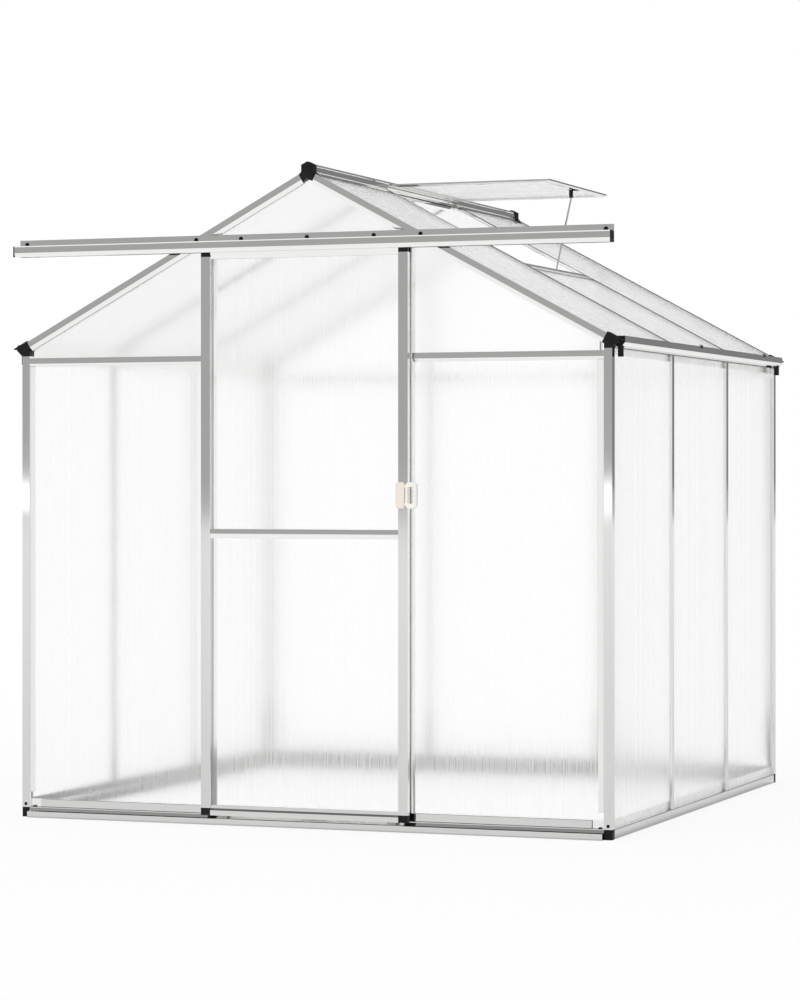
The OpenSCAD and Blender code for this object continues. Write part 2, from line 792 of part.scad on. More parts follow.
// Section of the top track: flange on the frame, channel in front, ledge for the rollers
module top_track_outline() {
  polygon([
    [-hd, door_head], [-hd, track_top + track_flange], [-hd - track_t, track_top + track_flange],
    [-hd - track_t, track_top], [-hd - track_d, track_top], [-hd - track_d, door_head + track_lip_h],
    [-hd - track_d + track_lean, door_head - 1],
    [-hd - track_d + track_lean + track_t, door_head - 1],
    [-hd - track_d + track_t, door_head + track_lip_h], [-hd - track_d + track_t, track_top - track_t],
    [-hd - track_t, track_top - track_t], [-hd - track_t, ledge_z + track_t],
    [-hd - track_t - ledge_d, ledge_z + track_t], [-hd - track_t - ledge_d, ledge_z],
    [-hd - track_t, ledge_z], [-hd - track_t, door_head]
  ]);
}
module door_top_track() {
  house() color(metal) along_x(-track_hl, track_hl) top_track_outline();
}

// Plates that close the channel's ends and stop the rollers
module door_track_ends() {
  house() color(plastic) both_sides()
    block([track_hl, -hd - track_d, door_head], [track_hl + end_cap_t, -hd, track_top]);
}

// Section of the bottom track: lip in front, floor, and a flange over the base rail
module door_bottom_track() {
  flange_top = base_h + base_lip_h - 1;
  house() color(metal) {
    along_x(-hw + post_w, hw - post_w) {
      translate([-hd - sill_d, 0]) square([track_t, sill_lip_h]);
      translate([-hd - sill_d, 0]) square([sill_d, track_t]);
      translate([-hd - track_t, 0]) square([track_t, base_h + track_t]);
      translate([-hd - track_t, base_h]) square([track_t + slot_out, track_t]);
    }
    along_x(-hw + post_w + sill_flange_short, hw - post_w - sill_flange_short)
      translate([-hd + slot_out - track_t, base_h]) square([track_t, flange_top - base_h]);
  }
}

// ---- Door ----

// Stiles between their end caps, with a groove for the door sheets
module door_stiles() {
  house() color(metal) both_sides() difference() {
    block([rail_in, door_front, door_foot + door_cap_h],
          [door_hw, door_back, door_top - door_head_cap_h]);
    block([rail_in - 1, door_mid - sheet_t / 2 - sheet_gap, door_foot],
          [rail_in + sheet_edge + sheet_gap, door_mid + sheet_t / 2 + sheet_gap, door_top]);
  }
}

module door_end_caps() {
  house() color(plastic) both_sides() {
    block([rail_in, door_front, door_foot], [door_hw, door_back, door_foot + door_cap_h]);
    block([rail_in, door_front, door_top - door_head_cap_h], [door_hw, door_back, door_top]);
  }
}

// Section of a door rail: upright face above, slanted lip below, slots for the sheets
module door_rail_outline(z0, h, slot_below, slot_above) {
  lip = h / 2;
  lean = 5;
  difference() {
    polygon([
      [door_front, z0 + h], [door_front, z0 + lip], [door_front + lean, z0],
      [door_back, z0], [door_back, z0 + h]
    ]);
    if (slot_below) translate([door_mid - sheet_t / 2 - sheet_gap, z0 - 1])
      square([sheet_t + 2 * sheet_gap, sheet_edge + 1 + sheet_gap]);
    if (slot_above) translate([door_mid - sheet_t / 2 - sheet_gap, z0 + h - sheet_edge - sheet_gap])
      square([sheet_t + 2 * sheet_gap, sheet_edge + 1 + sheet_gap]);
  }
}
mid_low = mid_rail_z - door_rail_h / 2;
top_low = door_top - door_rail_h + 6;
module door_rails() {
  house() color(metal) along_x(-rail_in, rail_in) {
    door_rail_outline(door_foot, door_foot_rail_h, false, true);
    door_rail_outline(mid_low, door_rail_h, true, true);
    door_rail_outline(top_low, door_top - top_low, true, false);
  }
}

module door_sheets() {
  edge = sheet_edge;
  half = rail_in + edge;
  low0 = door_foot + door_foot_rail_h - edge;
  high0 = mid_low + door_rail_h - edge;
  house() color(sheet) {
    block([-half, door_mid - sheet_t / 2, low0], [half, door_mid + sheet_t / 2, mid_low + edge]);
    block([-half, door_mid - sheet_t / 2, high0], [half, door_mid + sheet_t / 2, top_low + edge]);
  }
}

// Hangers stand on the door's top rail and carry a pin for each roller
module door_hangers() {
  plate_back = door_back - 1;
  house() color(metal) both_sides() {
    block([hanger_x - hanger_w / 2, plate_back - hanger_t, door_top],
          [hanger_x + hanger_w / 2, plate_back, roller_z + pin_r + 1]);
    translate([hanger_x, roller_back, roller_z]) rotate([90, 0, 0])
      cylinder(r = pin_r, h = roller_back - plate_back + 1);
  }
}

module door_rollers() {
  house() color(plastic) both_sides()
    translate([hanger_x, roller_back, roller_z]) rotate([90, 0, 0]) difference() {
      cylinder(d = roller_d, h = roller_w);
      translate([0, 0, -1]) cylinder(r = pin_r + pin_gap, h = roller_w + 2);
    }
}

// Shoes behind the door's foot that run in the bottom track, under the hangers
module door_guides() {
  shoe_back = -hd - track_t - (sill_d - 2 * track_t - guide_t) / 2;
  shoe_x0 = hanger_x - hanger_w / 2;
  shoe_x1 = hanger_x + hanger_w / 2;
  shoe_foot = track_t + run_gap + 1;
  arm_z = door_foot + 2;
  arm_t = 4;
  house() color(plastic) both_sides() {
    block([shoe_x0, door_back, arm_z], [shoe_x1, shoe_back, arm_z + arm_t]);
    block([shoe_x0, shoe_back - guide_t, shoe_foot], [shoe_x1, shoe_back, arm_z + arm_t]);
  }
}

// Handle: a plate on the stile and a grip with a tall slot beside it
module door_handle() {
  plate_w = stile_w + 1;
  plate_d = 0.6 * handle_d;
  plate_r = 8;
  grip_w = 38;
  grip_r = 11;
  plate_x = door_hw - stile_w - 5;
  grip_x = plate_x + plate_w - 2;
  slot_w = 9;
  slot_end = 15;
  slot_x = grip_x + 14;
  house() color(cream) translate([0, door_front, handle_z - handle_h / 2]) rotate([90, 0, 0]) {
    linear_extrude(plate_d) translate([plate_x, 0]) round_rect([plate_w, handle_h], plate_r);
    linear_extrude(handle_d) difference() {
      translate([grip_x, 0]) round_rect([grip_w, handle_h], grip_r);
      translate([slot_x, slot_end]) square([slot_w, handle_h - 2 * slot_end]);
    }
  }
}

base_front_rail();
base_back_rail();
base_left_rail();
base_right_rail();
base_corners();
corner_posts();
door_jambs();
door_header();
front_eave_rails();
back_eave_rail();
side_studs();
back_studs();
eave_beams();
gutters();
eave_corners();
downspouts();
ridge_beam();
ridge_caps();
front_rafters();
back_rafters();
roof_bars();
door_top_track();
door_track_ends();
door_bottom_track();
front_wall_sheets();
back_wall_sheets();
left_wall_sheets();
right_wall_sheets();
front_gable_sheets();
back_gable_sheets();
left_roof_sheets();
right_roof_sheets();
vent_sill();
vent_hinge();
vent_frame();
vent_sheet();
vent_bracket();
vent_stay();
door_stiles();
door_rails();
door_sheets();
door_end_caps();
door_hangers();
door_rollers();
door_guides();
door_handle();
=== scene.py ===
import math

import bmesh
import bpy
from mathutils import Matrix, Vector


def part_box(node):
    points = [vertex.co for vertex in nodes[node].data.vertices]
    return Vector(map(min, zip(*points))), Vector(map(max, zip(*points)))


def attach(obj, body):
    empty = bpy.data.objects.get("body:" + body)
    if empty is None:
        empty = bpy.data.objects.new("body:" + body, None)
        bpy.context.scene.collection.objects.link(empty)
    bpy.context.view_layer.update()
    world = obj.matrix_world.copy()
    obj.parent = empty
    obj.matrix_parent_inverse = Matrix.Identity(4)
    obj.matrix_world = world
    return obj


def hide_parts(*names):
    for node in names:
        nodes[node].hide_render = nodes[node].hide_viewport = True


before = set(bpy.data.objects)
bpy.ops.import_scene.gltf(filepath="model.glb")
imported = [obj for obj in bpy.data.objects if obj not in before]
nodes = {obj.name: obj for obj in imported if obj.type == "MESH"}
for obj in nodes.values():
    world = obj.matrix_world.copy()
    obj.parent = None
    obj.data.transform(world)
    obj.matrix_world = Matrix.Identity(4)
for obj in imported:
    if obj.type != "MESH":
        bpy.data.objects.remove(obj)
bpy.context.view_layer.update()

# ---- Base: rails and corner blocks ----
# Four aluminium rails lie on the ground and meet in moulded black blocks. The rails are
# drawn through a die, so fine lines run along them, and the metal is left as it comes
# out, with faint cloudy patches.

METAL_COLOUR = (0.88, 0.88, 0.87, 1)
METAL_ROUGHNESS = 0.045
BLACK_COLOUR = (0.007, 0.007, 0.0075, 1)
FINISH_OUTPUTS = (("Color", "Color"), ("Roughness", "Float"), ("Height", "Float"))
QUARTER = math.radians(90)


def feed(tree, node, inputs):
    """Gives each input its value, or a link from each output that feeds it."""
    for socket, given in inputs.items():
        for value in given if isinstance(given, list) else [given]:
            if isinstance(value, bpy.types.NodeSocket):
                tree.links.new(value, node.inputs[socket])
            else:
                node.inputs[socket].default_value = value


def add(tree, kind, inputs=None, **settings):
    """Makes a node with its inputs and settings, and gives back its outputs."""
    made = tree.nodes.new(kind)
    for name, value in settings.items():
        setattr(made, name, value)
    feed(tree, made, inputs or {})
    return made.outputs


def maths(tree, operation, *values, **settings):
    """One sum on values or outputs."""
    inputs = dict(enumerate(values))
    return add(tree, "ShaderNodeMath", inputs, operation=operation, **settings)["Value"]


def vectors(tree, operation, inputs):
    return add(tree, "ShaderNodeVectorMath", inputs, operation=operation)


def ranged(tree, value, start, end, low, high):
    """Takes what lies between start and end to low and high."""
    words = ("Value", "From Min", "From Max", "To Min", "To Max")
    inputs = dict(zip(words, (value, start, end, low, high)))
    return add(tree, "ShaderNodeMapRange", inputs)["Result"]


def new_group(name, kind, inputs, outputs):
    """A node group with named sockets: its tree, what it is given, and its output node."""
    tree = bpy.data.node_groups.new(name, kind)
    for word, sort, *value in inputs:
        sort = "NodeSocket" + sort
        socket = tree.interface.new_socket(word, in_out="INPUT", socket_type=sort)
        if value:
            socket.default_value = value[0]
    for word, sort in outputs:
        sort = "NodeSocket" + sort
        tree.interface.new_socket(word, in_out="OUTPUT", socket_type=sort)
    return tree, add(tree, "NodeGroupInput"), tree.nodes.new("NodeGroupOutput")


def mottle(tree, vector, scale, detail):
    """A noise on the given vector, spread from 0 to 1."""
    inputs = {"Vector": vector, "Scale": scale, "Detail": detail}
    return ranged(tree, add(tree, "ShaderNodeTexNoise", inputs)["Fac"], 0.3, 0.7, 0.0, 1.0)


def die_line_group():
    """Lines along Z from the die, and cloudy patches in the oxide."""
    inputs = (
        ("Vector", "Vector"),
        ("Base Color", "Color", METAL_COLOUR),
        ("Line Scale", "Float", 420.0),
        ("Line Stretch", "Float", 0.004),
        ("Roughness", "Float", METAL_ROUGHNESS),
    )
    tree, given, out = new_group("die_lines", "ShaderNodeTree", inputs, FINISH_OUTPUTS)
    line_shade, cloud_shade, darkest, cloud_dulling = 0.035, 0.03, 0.945, 0.03
    stretch = add(tree, "ShaderNodeCombineXYZ", {"X": 1, "Y": 1, "Z": given["Line Stretch"]})
    along = vectors(tree, "MULTIPLY", {0: given["Vector"], 1: stretch["Vector"]})["Vector"]
    lines = mottle(tree, along, given["Line Scale"], 3)
    clouds = mottle(tree, given["Vector"], 2.6, 4)
    # The lines darken the metal a little, and the clouds dull it
    shade = maths(tree, "MULTIPLY_ADD", lines, line_shade, darkest)
    shade = maths(tree, "MULTIPLY_ADD", clouds, cloud_shade, shade)
    colour = vectors(tree, "SCALE", {0: given["Base Color"], "Scale": shade})["Vector"]
    rough = maths(tree, "MULTIPLY_ADD", clouds, cloud_dulling, given["Roughness"])
    feed(tree, out, {"Color": colour, "Roughness": rough, "Height": lines})
    return tree


DIE_LINES = die_line_group()


def new_material(name):
    material = bpy.data.materials.new(name)
    material.use_nodes = True
    tree = material.node_tree
    return material, tree, tree.nodes["Principled BSDF"]


def with_relief(tree, shader, height, strength, depth):
    """Feeds a height to the shader's normal."""
    inputs = {"Strength": strength, "Distance": depth, "Height": height}
    feed(tree, shader, {"Normal": add(tree, "ShaderNodeBump", inputs)["Normal"]})


def aluminium(name, turn, colour=METAL_COLOUR, roughness=METAL_ROUGHNESS):
    """Mill-finish aluminium. The turn brings the profile's length on to Z."""
    material, tree, shader = new_material(name)
    place = add(tree, "ShaderNodeTexCoord")["Object"]
    place = add(tree, "ShaderNodeMapping", {"Vector": place, "Rotation": turn})["Vector"]
    inputs = {"Vector": place, "Base Color": colour, "Roughness": roughness}
    lines = add(tree, "ShaderNodeGroup", inputs, node_tree=DIE_LINES)
    inputs = {"Base Color": lines["Color"], "Roughness": lines["Roughness"], "Metallic": 1}
    feed(tree, shader, inputs)
    with_relief(tree, shader, lines["Height"], 0.04, 0.0002)
    return material


metal_along_x = aluminium("aluminium_along_x", (0, QUARTER, 0))
metal_along_y = aluminium("aluminium_along_y", (QUARTER, 0, 0))
metal_upright = aluminium("aluminium_upright", (0, 0, 0))


def moulding_group():
    """Fine spark-eroded grain of a mould, with faint scuffs and dust."""
    inputs = (
        ("Vector", "Vector"),
        ("Base Color", "Color", BLACK_COLOUR),
        ("Dust Color", "Color", (0.35, 0.34, 0.32, 1)),
        ("Dust", "Float", 0.03),
        ("Roughness", "Float", 0.45),
    )
    tree, given, out = new_group("mould_grain", "ShaderNodeTree", inputs, FINISH_OUTPUTS)
    scuff_dulling = 0.12
    grain = mottle(tree, given["Vector"], 1400, 2)
    scuffs = mottle(tree, given["Vector"], 38, 5)
    dusty = maths(tree, "MULTIPLY", scuffs, given["Dust"])
    inputs = {0: dusty, 6: given["Base Color"], 7: given["Dust Color"]}
    colour = add(tree, "ShaderNodeMix", inputs, data_type="RGBA")[2]
    rough = maths(tree, "MULTIPLY_ADD", scuffs, scuff_dulling, given["Roughness"])
    feed(tree, out, {"Color": colour, "Roughness": rough, "Height": grain})
    return tree


MOULD_GRAIN = moulding_group()


def moulded(name, colour, dust, roughness, relief, shine=0.5):
    """Moulded plastic, with its grain as relief."""
    material, tree, shader = new_material(name)
    place = add(tree, "ShaderNodeTexCoord")["Object"]
    inputs = {"Vector": place, "Base Color": colour, "Dust": dust, "Roughness": roughness}
    grain = add(tree, "ShaderNodeGroup", inputs, node_tree=MOULD_GRAIN)
    feed(tree, shader, {"Base Color": grain["Color"], "Roughness": grain["Roughness"]})
    feed(tree, shader, {"Specular IOR Level": shine})
    with_relief(tree, shader, grain["Height"], relief, 0.0001)
    return material


black_plastic = moulded("black_plastic", BLACK_COLOUR, 0.015, 0.42, 0.15, 0.22)


def dress(material, *names):
    """Gives CAD nodes a material."""
    for name in names:
        for slot in nodes[name].material_slots:
            slot.material = material


def merged_copy(node):
    """A copy of a CAD node's mesh with its triangles joined into whole faces."""
    work = bmesh.new()
    work.from_mesh(nodes[node].data)
    bmesh.ops.remove_doubles(work, verts=work.verts, dist=1e-6)
    flat = math.radians(0.5)
    bmesh.ops.dissolve_limit(work, angle_limit=flat, verts=work.verts, edges=work.edges)
    return work


def finished(name, work, materials=()):
    """The mesh of a shape, with its materials."""
    mesh = bpy.data.meshes.new(name)
    work.to_mesh(mesh)
    work.free()
    for finish in materials:
        mesh.materials.append(finish)
    return mesh


def placed(name, mesh):
    """An object of a mesh that is already in its place."""
    made = bpy.data.objects.new(name, mesh)
    bpy.context.scene.collection.objects.link(made)
    return made


def piece(name, work, materials, body, node=None):
    """Makes an object of a shape, and sets it on a body. It may stand for a CAD node."""
    made = placed(name, finished(name, work, materials))
    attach(made, body)
    if node:
        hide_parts(node)
    return made


def softened(node, radius):
    """Stands for a moulded CAD node, with the small radius that its mould gives its edges."""
    made = piece("moulded_" + node, merged_copy(node), (black_plastic,), "frame")
    bevel = made.modifiers.new("edges", "BEVEL")
    bevel.width = radius
    bevel.segments = 2
    bevel.limit_method = "ANGLE"
    bevel.angle_limit = math.radians(28)
    bevel.harden_normals = True
    for face in made.data.polygons:
        face.use_smooth = True
    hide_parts(node)


# Each places a point of a section, given as (across, up) or (across, depth) and along
def along_x(across, up, along):
    return along, across, up


def along_y(across, up, along):
    return across, along, up


def upright(across, depth, along):
    return across, depth, along


def skinned(work, one, two):
    """Faces from one loop to the next."""
    for k in range(len(one)):
        n = (k + 1) % len(one)
        work.faces.new((one[k], one[n], two[n], two[k]))


def drawn(work, outline, start, end, place):
    """Draws a section out into a bar."""
    ends = [[work.verts.new(place(a, b, at)) for a, b in outline] for at in (start, end)]
    skinned(work, *ends)
    work.faces.new(ends[0])
    work.faces.new(ends[1][::-1])


def outwards(work):
    bmesh.ops.recalc_face_normals(work, faces=work.faces)
    return work


metal_t = 0.002
seat_room = 0.0003
base_low, base_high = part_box("base_front_rail")
base_half = base_high[0]
face_y = base_low[1]
base_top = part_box("base_corners")[1][2]
seat_low, seat_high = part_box("front_wall_sheets")
lip_face = seat_high[1] + seat_room

# The front rail slopes back under the door's bottom track, which lies against it
slope_foot = 0.0195
foot_edge = 0.001
section = [
    (face_y, foot_edge),
    (face_y + foot_edge, 0),
    (base_high[1] - foot_edge, 0),
    (base_high[1], foot_edge),
    (base_high[1], base_top - metal_t),
    (base_high[1] - metal_t, base_top),
    (lip_face + metal_t, base_top),
    (lip_face + metal_t, base_high[2]),
    (lip_face, base_high[2]),
    (lip_face, base_top),
    (seat_low[1] - 0.0008, base_top),
    (face_y, slope_foot + 0.0005),
]
work = bmesh.new()
drawn(work, section, -base_half, base_half, along_x)
rail = "base_front_rail"
piece(rail + "_drawn", outwards(work), (metal_along_x,), "frame", rail)
dress(metal_along_x, "base_back_rail")
dress(metal_along_y, "base_left_rail", "base_right_rail")
softened("base_corners", 0.0012)

# ---- Posts, jambs, studs and eave rails ----
# Square corner posts and flat door jambs stand on the base rails, all of drawn aluminium.
# Studs hold the edges of the sheets between an outer cap and an inner T, and rails tie
# the gables at the eaves.

dress(metal_upright, "corner_posts", "door_jambs")
dress(metal_along_x, "door_header", "front_eave_rails", "back_eave_rail")

# How near two points lie that count as one, or as on one plane
TOUCH = 0.0001
stud_width = 0.024
tee_depth = 0.0093
stem_end = 0.0116


def on_side(side):
    """Chooses the faces on one side of the middle."""
    return lambda face: face.calc_center_median().x * side > 0


def split(work, spot, way, chosen=lambda face: True):
    """Splits the chosen faces along a plane and takes nothing away."""
    faces = [face for face in work.faces if chosen(face)]
    edges = dict.fromkeys(edge for face in faces for edge in face.edges)
    corners = dict.fromkeys(corner for face in faces for corner in face.verts)
    parts = [*faces, *edges, *corners]
    bmesh.ops.bisect_plane(work, geom=parts, dist=1e-7, plane_co=spot, plane_no=way)


def slimmed(node, axis, outer, outward, materials, crown=0):
    """A stud or bar with the inner T drawn narrower than its outer cap. The outward
    function gives the way out of the wall at a point, and outer the outer face's reach.
    The crown is how far the cap's edges are cut back."""
    work = merged_copy(node)
    low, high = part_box(node)
    centres = (low[axis] + stud_width / 2, high[axis] - stud_width / 2)

    def centre_of(corner):
        return min(centres, key=lambda centre: abs(corner.co[axis] - centre))

    for corner in work.verts:
        way = outward(corner.co)
        depth = outer - corner.co.dot(way)
        centre = centre_of(corner)
        off = corner.co[axis] - centre
        if depth > tee_depth - seat_room and abs(off) > stud_width / 4:
            corner.co[axis] = centre + off / 2
        if depth > stem_end:
            corner.co += way * (depth - stem_end)
    if crown:
        for side in (-1, 1):
            up = outward(Vector((side, 0, 0)))
            split(work, up * (outer - crown), up, on_side(side))
        for corner in work.verts:
            if outer - corner.co.dot(outward(corner.co)) < TOUCH:
                corner.co[axis] -= math.copysign(crown, corner.co[axis] - centre_of(corner))
    for face in work.faces:
        face.material_index = int(len(materials) > 1 and on_side(-1)(face))
    piece("slim_" + node, work, materials, "frame", node)


def side_way(spot):
    return Vector((math.copysign(1, spot.x), 0, 0))


def back_way(spot):
    return Vector((0, 1, 0))


slimmed("side_studs", 1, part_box("side_studs")[1][0], side_way, (metal_upright,))
slimmed("back_studs", 0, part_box("back_studs")[1][1], back_way, (metal_upright,))

# A pale strip clips on each corner post and holds the gable sheet's edge
strip_plastic = moulded("pale_strip", (0.84, 0.84, 0.83, 1), 0.02, 0.45, 0.05)
post_low, post_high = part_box("corner_posts")
post_half = post_high[0]
strip_foot, strip_head = 0.078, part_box("front_eave_rails")[0][2]
strip_w, strip_set, strip_t, strip_edge = 0.0182, 0.0022, 0.0006, 0.0004
work = bmesh.new()
for side in (-1, 1):
    inside, outside = side * (base_half - strip_w), side * base_half
    for outer, inner in ((post_low[1] + strip_set, 1), (post_high[1] - strip_set, -1)):
        outline = [
            (inside, outer + inner * strip_edge),
            (inside + side * strip_t, outer),
            (outside, outer),
            (outside, outer + inner * strip_t),
            (inside, outer + inner * strip_t),
        ]
        drawn(work, outline, strip_foot, strip_head, upright)
piece("glazing_strips", outwards(work), (strip_plastic,), "frame")

# A pale seal runs up the outer edge of each jamb, behind the door. Each point of its
# section is (in from the jamb's edge, proud of its face).
jamb_low, jamb_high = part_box("door_jambs")
seal_foot, seal_head = 0.0565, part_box("door_header")[0][2]
seal = ((0, 0), (0, 0.0008), (0.0006, 0.0014), (0.0040, 0.0014), (0.0046, 0))
work = bmesh.new()
for side in (-1, 1):
    outline = [(side * (jamb_high[0] - inset), jamb_low[1] - proud) for inset, proud in seal]
    drawn(work, outline, seal_foot, seal_head, upright)
piece("jamb_seals", outwards(work), (strip_plastic,), "frame")

# ---- Eaves and gutters ----
# An aluminium beam caps each side wall, with a gutter on its outer face. Black mouldings
# close the ends and carry the rafters, and a short spout drains each end.

dress(metal_along_y, "eave_beams")
gutter_metal = aluminium("gutter_aluminium", (QUARTER, 0, 0), roughness=0.11)
dress(gutter_metal, "gutters")
softened("eave_corners", 0.0010)
dress(black_plastic, "downspouts")

# Each corner has a lid that follows the roof over the sheet, a filling under it that
# closes over the sheet's corner, and a closed end plate
roof_pitch = math.radians(28.3)
corner_low, corner_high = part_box("eave_corners")
beam_low, beam_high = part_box("eave_beams")
lid_start, lid_end, lid_t = post_half - 0.008, corner_high[0] - 0.001, 0.0035
body_end, plate_start = corner_high[0] - 0.0112, post_half - 0.002
rim_x = corner_high[0] - 0.0002
body_foot, filling_edge, plate_edge = 1.4262, 1.4365, 1.4372


def lid_z(x):
    return corner_high[2] - (x - (post_half - 0.015)) * math.tan(roof_pitch)


lid = [(x, lid_z(x)) for x in (lid_start, lid_end)]
lid += [(x, z - lid_t) for x, z in reversed(lid)]
filling = [
    (lid_start, lid_z(lid_start) - 0.003),
    (body_end, lid_z(body_end) - 0.003),
    (body_end, filling_edge),
    (post_half - 0.0002, body_foot),
    (lid_start, body_foot),
]
plate = [
    (plate_start, body_foot),
    (body_end, body_foot),
    (rim_x, plate_edge),
    (rim_x, lid_z(corner_high[0])),
    (plate_start, lid_z(plate_start)),
]
work = bmesh.new()
for side in (-1, 1):
    for outer, inner in ((corner_low[1], beam_low[1]), (corner_high[1], beam_high[1])):
        way = math.copysign(1, inner - outer)
        for outline, start, end in (
            (lid, outer + way * 0.0002, inner + way * 0.0001),
            (filling, outer + way * 0.0004, inner + way * 0.0001),
            (plate, inner - way * 0.0055, inner - way * 0.0042),
        ):
            drawn(work, [(side * x, z) for x, z in outline], start, end, along_y)
piece("eave_corner_lids", outwards(work), (black_plastic,), "frame")

# ---- Ridge, rafters and roof bars ----
# The ridge is one deep aluminium profile with a wing over each slope. Rafters close the
# gables, and bars between them hold the roof sheets.

metal_down_right = aluminium("aluminium_down_right", (0, -(QUARTER + roof_pitch), 0))
metal_down_left = aluminium("aluminium_down_left", (0, QUARTER + roof_pitch, 0))
slope_metals = (metal_down_right, metal_down_left)

# Two grooves run along each side of the ridge, each with a sloping upper face
groove_depth, ridge_side = 0.0020, 0.015
work = merged_copy("ridge_beam")
for groove in (1.9740, 1.9563):
    for step in (-0.0007, 0, 0.0032):
        split(work, (0, 0, groove + step), (0, 0, 1))
    for corner in work.verts:
        if abs(corner.co.z - groove) < TOUCH and abs(corner.co.x) > ridge_side:
            corner.co.x -= math.copysign(groove_depth, corner.co.x)
piece("grooved_ridge_beam", work, (metal_along_y,), "frame", "ridge_beam")
softened("ridge_caps", 0.0010)

lip_share, lip_lean = 0.42, 0.0045
upstand_t, edge_height, edge_lean = 0.002, 0.0034, 0.0015


def slope_way(spot):
    return Vector((math.copysign(math.sin(roof_pitch), spot.x), 0, math.cos(roof_pitch)))


def lipped_rafters(node, end):
    """The gable's rafters. The outer face turns in towards its lower edge, and the upstand
    beside the sheet is thinned towards its top."""
    work = merged_copy(node)
    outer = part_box(node)[0 if end < 0 else 1][1]
    for side in (-1, 1):
        up = slope_way(Vector((side, 0, 0)))
        heights = [corner.co.dot(up) for corner in work.verts if corner.co.x * side > 0]
        foot, top = min(heights), max(heights)
        for height in (foot + lip_share * (top - foot), top - edge_height):
            split(work, up * height, up, on_side(side))
        for corner in work.verts:
            if corner.co.x * side <= 0:
                continue
            depth, height = abs(corner.co.y - outer), corner.co.dot(up)
            if depth < TOUCH and height < foot + TOUCH:
                corner.co.y -= end * lip_lean
            elif abs(depth - upstand_t) < TOUCH and height > top - TOUCH:
                corner.co.y += end * edge_lean
    for face in work.faces:
        face.material_index = int(on_side(-1)(face))
    piece("lipped_" + node, work, slope_metals, "frame", node)


lipped_rafters("front_rafters", -1)
lipped_rafters("back_rafters", 1)
bar_corners = [corner.co for corner in nodes["roof_bars"].data.vertices]
bar_reach = max(spot.dot(slope_way(spot)) for spot in bar_corners)
slimmed("roof_bars", 1, bar_reach, slope_way, slope_metals, crown=0.0017)

# ---- Twin-wall sheets ----
# Each sheet is extruded polycarbonate: two thin skins joined by ribs a few millimetres
# apart. The ribs stand upright in the walls and run down the slope in the roof.

SKIN_T = 0.0004
RIB_T = 0.0004
RIB_PITCH = 0.0075


def sheet_streak_group():
    """Draw lines of an extruded sheet: one swell to each cell, and streaks from the die."""
    inputs = (
        ("Streak Scale", "Float", 1.5),
        ("Clear", "Float", 0.27),
        ("Hazy", "Float", 0.65),
    )
    outputs = (("Haze", "Float"), ("Height", "Float"))
    tree, given, out = new_group("sheet_streaks", "ShaderNodeTree", inputs, outputs)
    wave_share = 0.17
    across = add(tree, "ShaderNodeAttribute", attribute_name="across")["Fac"]
    wave = maths(tree, "COSINE", maths(tree, "MULTIPLY", across, 2 * math.pi))
    inputs = {"W": across, "Scale": given["Streak Scale"], "Detail": 2}
    streaks = add(tree, "ShaderNodeTexNoise", inputs, noise_dimensions="1D")["Fac"]
    # Hazier over the ribs, and along some of the die's lines
    both = maths(tree, "MULTIPLY_ADD", wave, wave_share, streaks)
    haze = ranged(tree, both, 0.3, 0.7, given["Clear"], given["Hazy"])
    feed(tree, out, {"Haze": haze, "Height": wave})
    return tree


SHEET_STREAKS = sheet_streak_group()


def mixed(tree, share, one, two):
    """The first shader where the share is 0, the second where it is 1."""
    return add(tree, "ShaderNodeMixShader", {0: share, 1: one, 2: two})["Shader"]


def for_lamps_clear(tree, shader, tint):
    """Lets the lamps' light through a sheet, as its cells do."""
    clear = add(tree, "ShaderNodeBsdfTransparent", {"Color": tint})["BSDF"]
    shadow = add(tree, "ShaderNodeLightPath")["Is Shadow Ray"]
    surface = mixed(tree, shadow, shader.outputs["BSDF"], clear)
    feed(tree, tree.nodes["Material Output"], {"Surface": surface})


def skin_plastic():
    material, tree, shader = new_material("polycarbonate_skin")
    streaks = add(tree, "ShaderNodeGroup", node_tree=SHEET_STREAKS)
    inputs = {"Base Color": (0.998, 1.0, 0.999, 1), "Roughness": streaks["Haze"]}
    feed(tree, shader, {**inputs, "Transmission Weight": 1.0, "IOR": 1.04})
    with_relief(tree, shader, streaks["Height"], 1.0, 0.00005)
    for_lamps_clear(tree, shader, (0.97, 0.975, 0.975, 1))
    return material


def cell_plastic(name, alpha):
    """The faces inside the cells: the skins' inner sides, and the milkier ribs."""
    material, tree, shader = new_material(name)
    inputs = {"Clear": 0.95, "Hazy": 0.99}
    haze = add(tree, "ShaderNodeGroup", inputs, node_tree=SHEET_STREAKS)["Haze"]
    feed(tree, shader, {"Base Color": haze, "Roughness": 0.4, "Alpha": alpha})
    return material


SHEET_PLASTICS = {
    "Skin_Material": skin_plastic(),
    "Cell_Material": cell_plastic("polycarbonate_cell", 0.005),
    "Rib_Material": cell_plastic("polycarbonate_rib", 0.055),
}


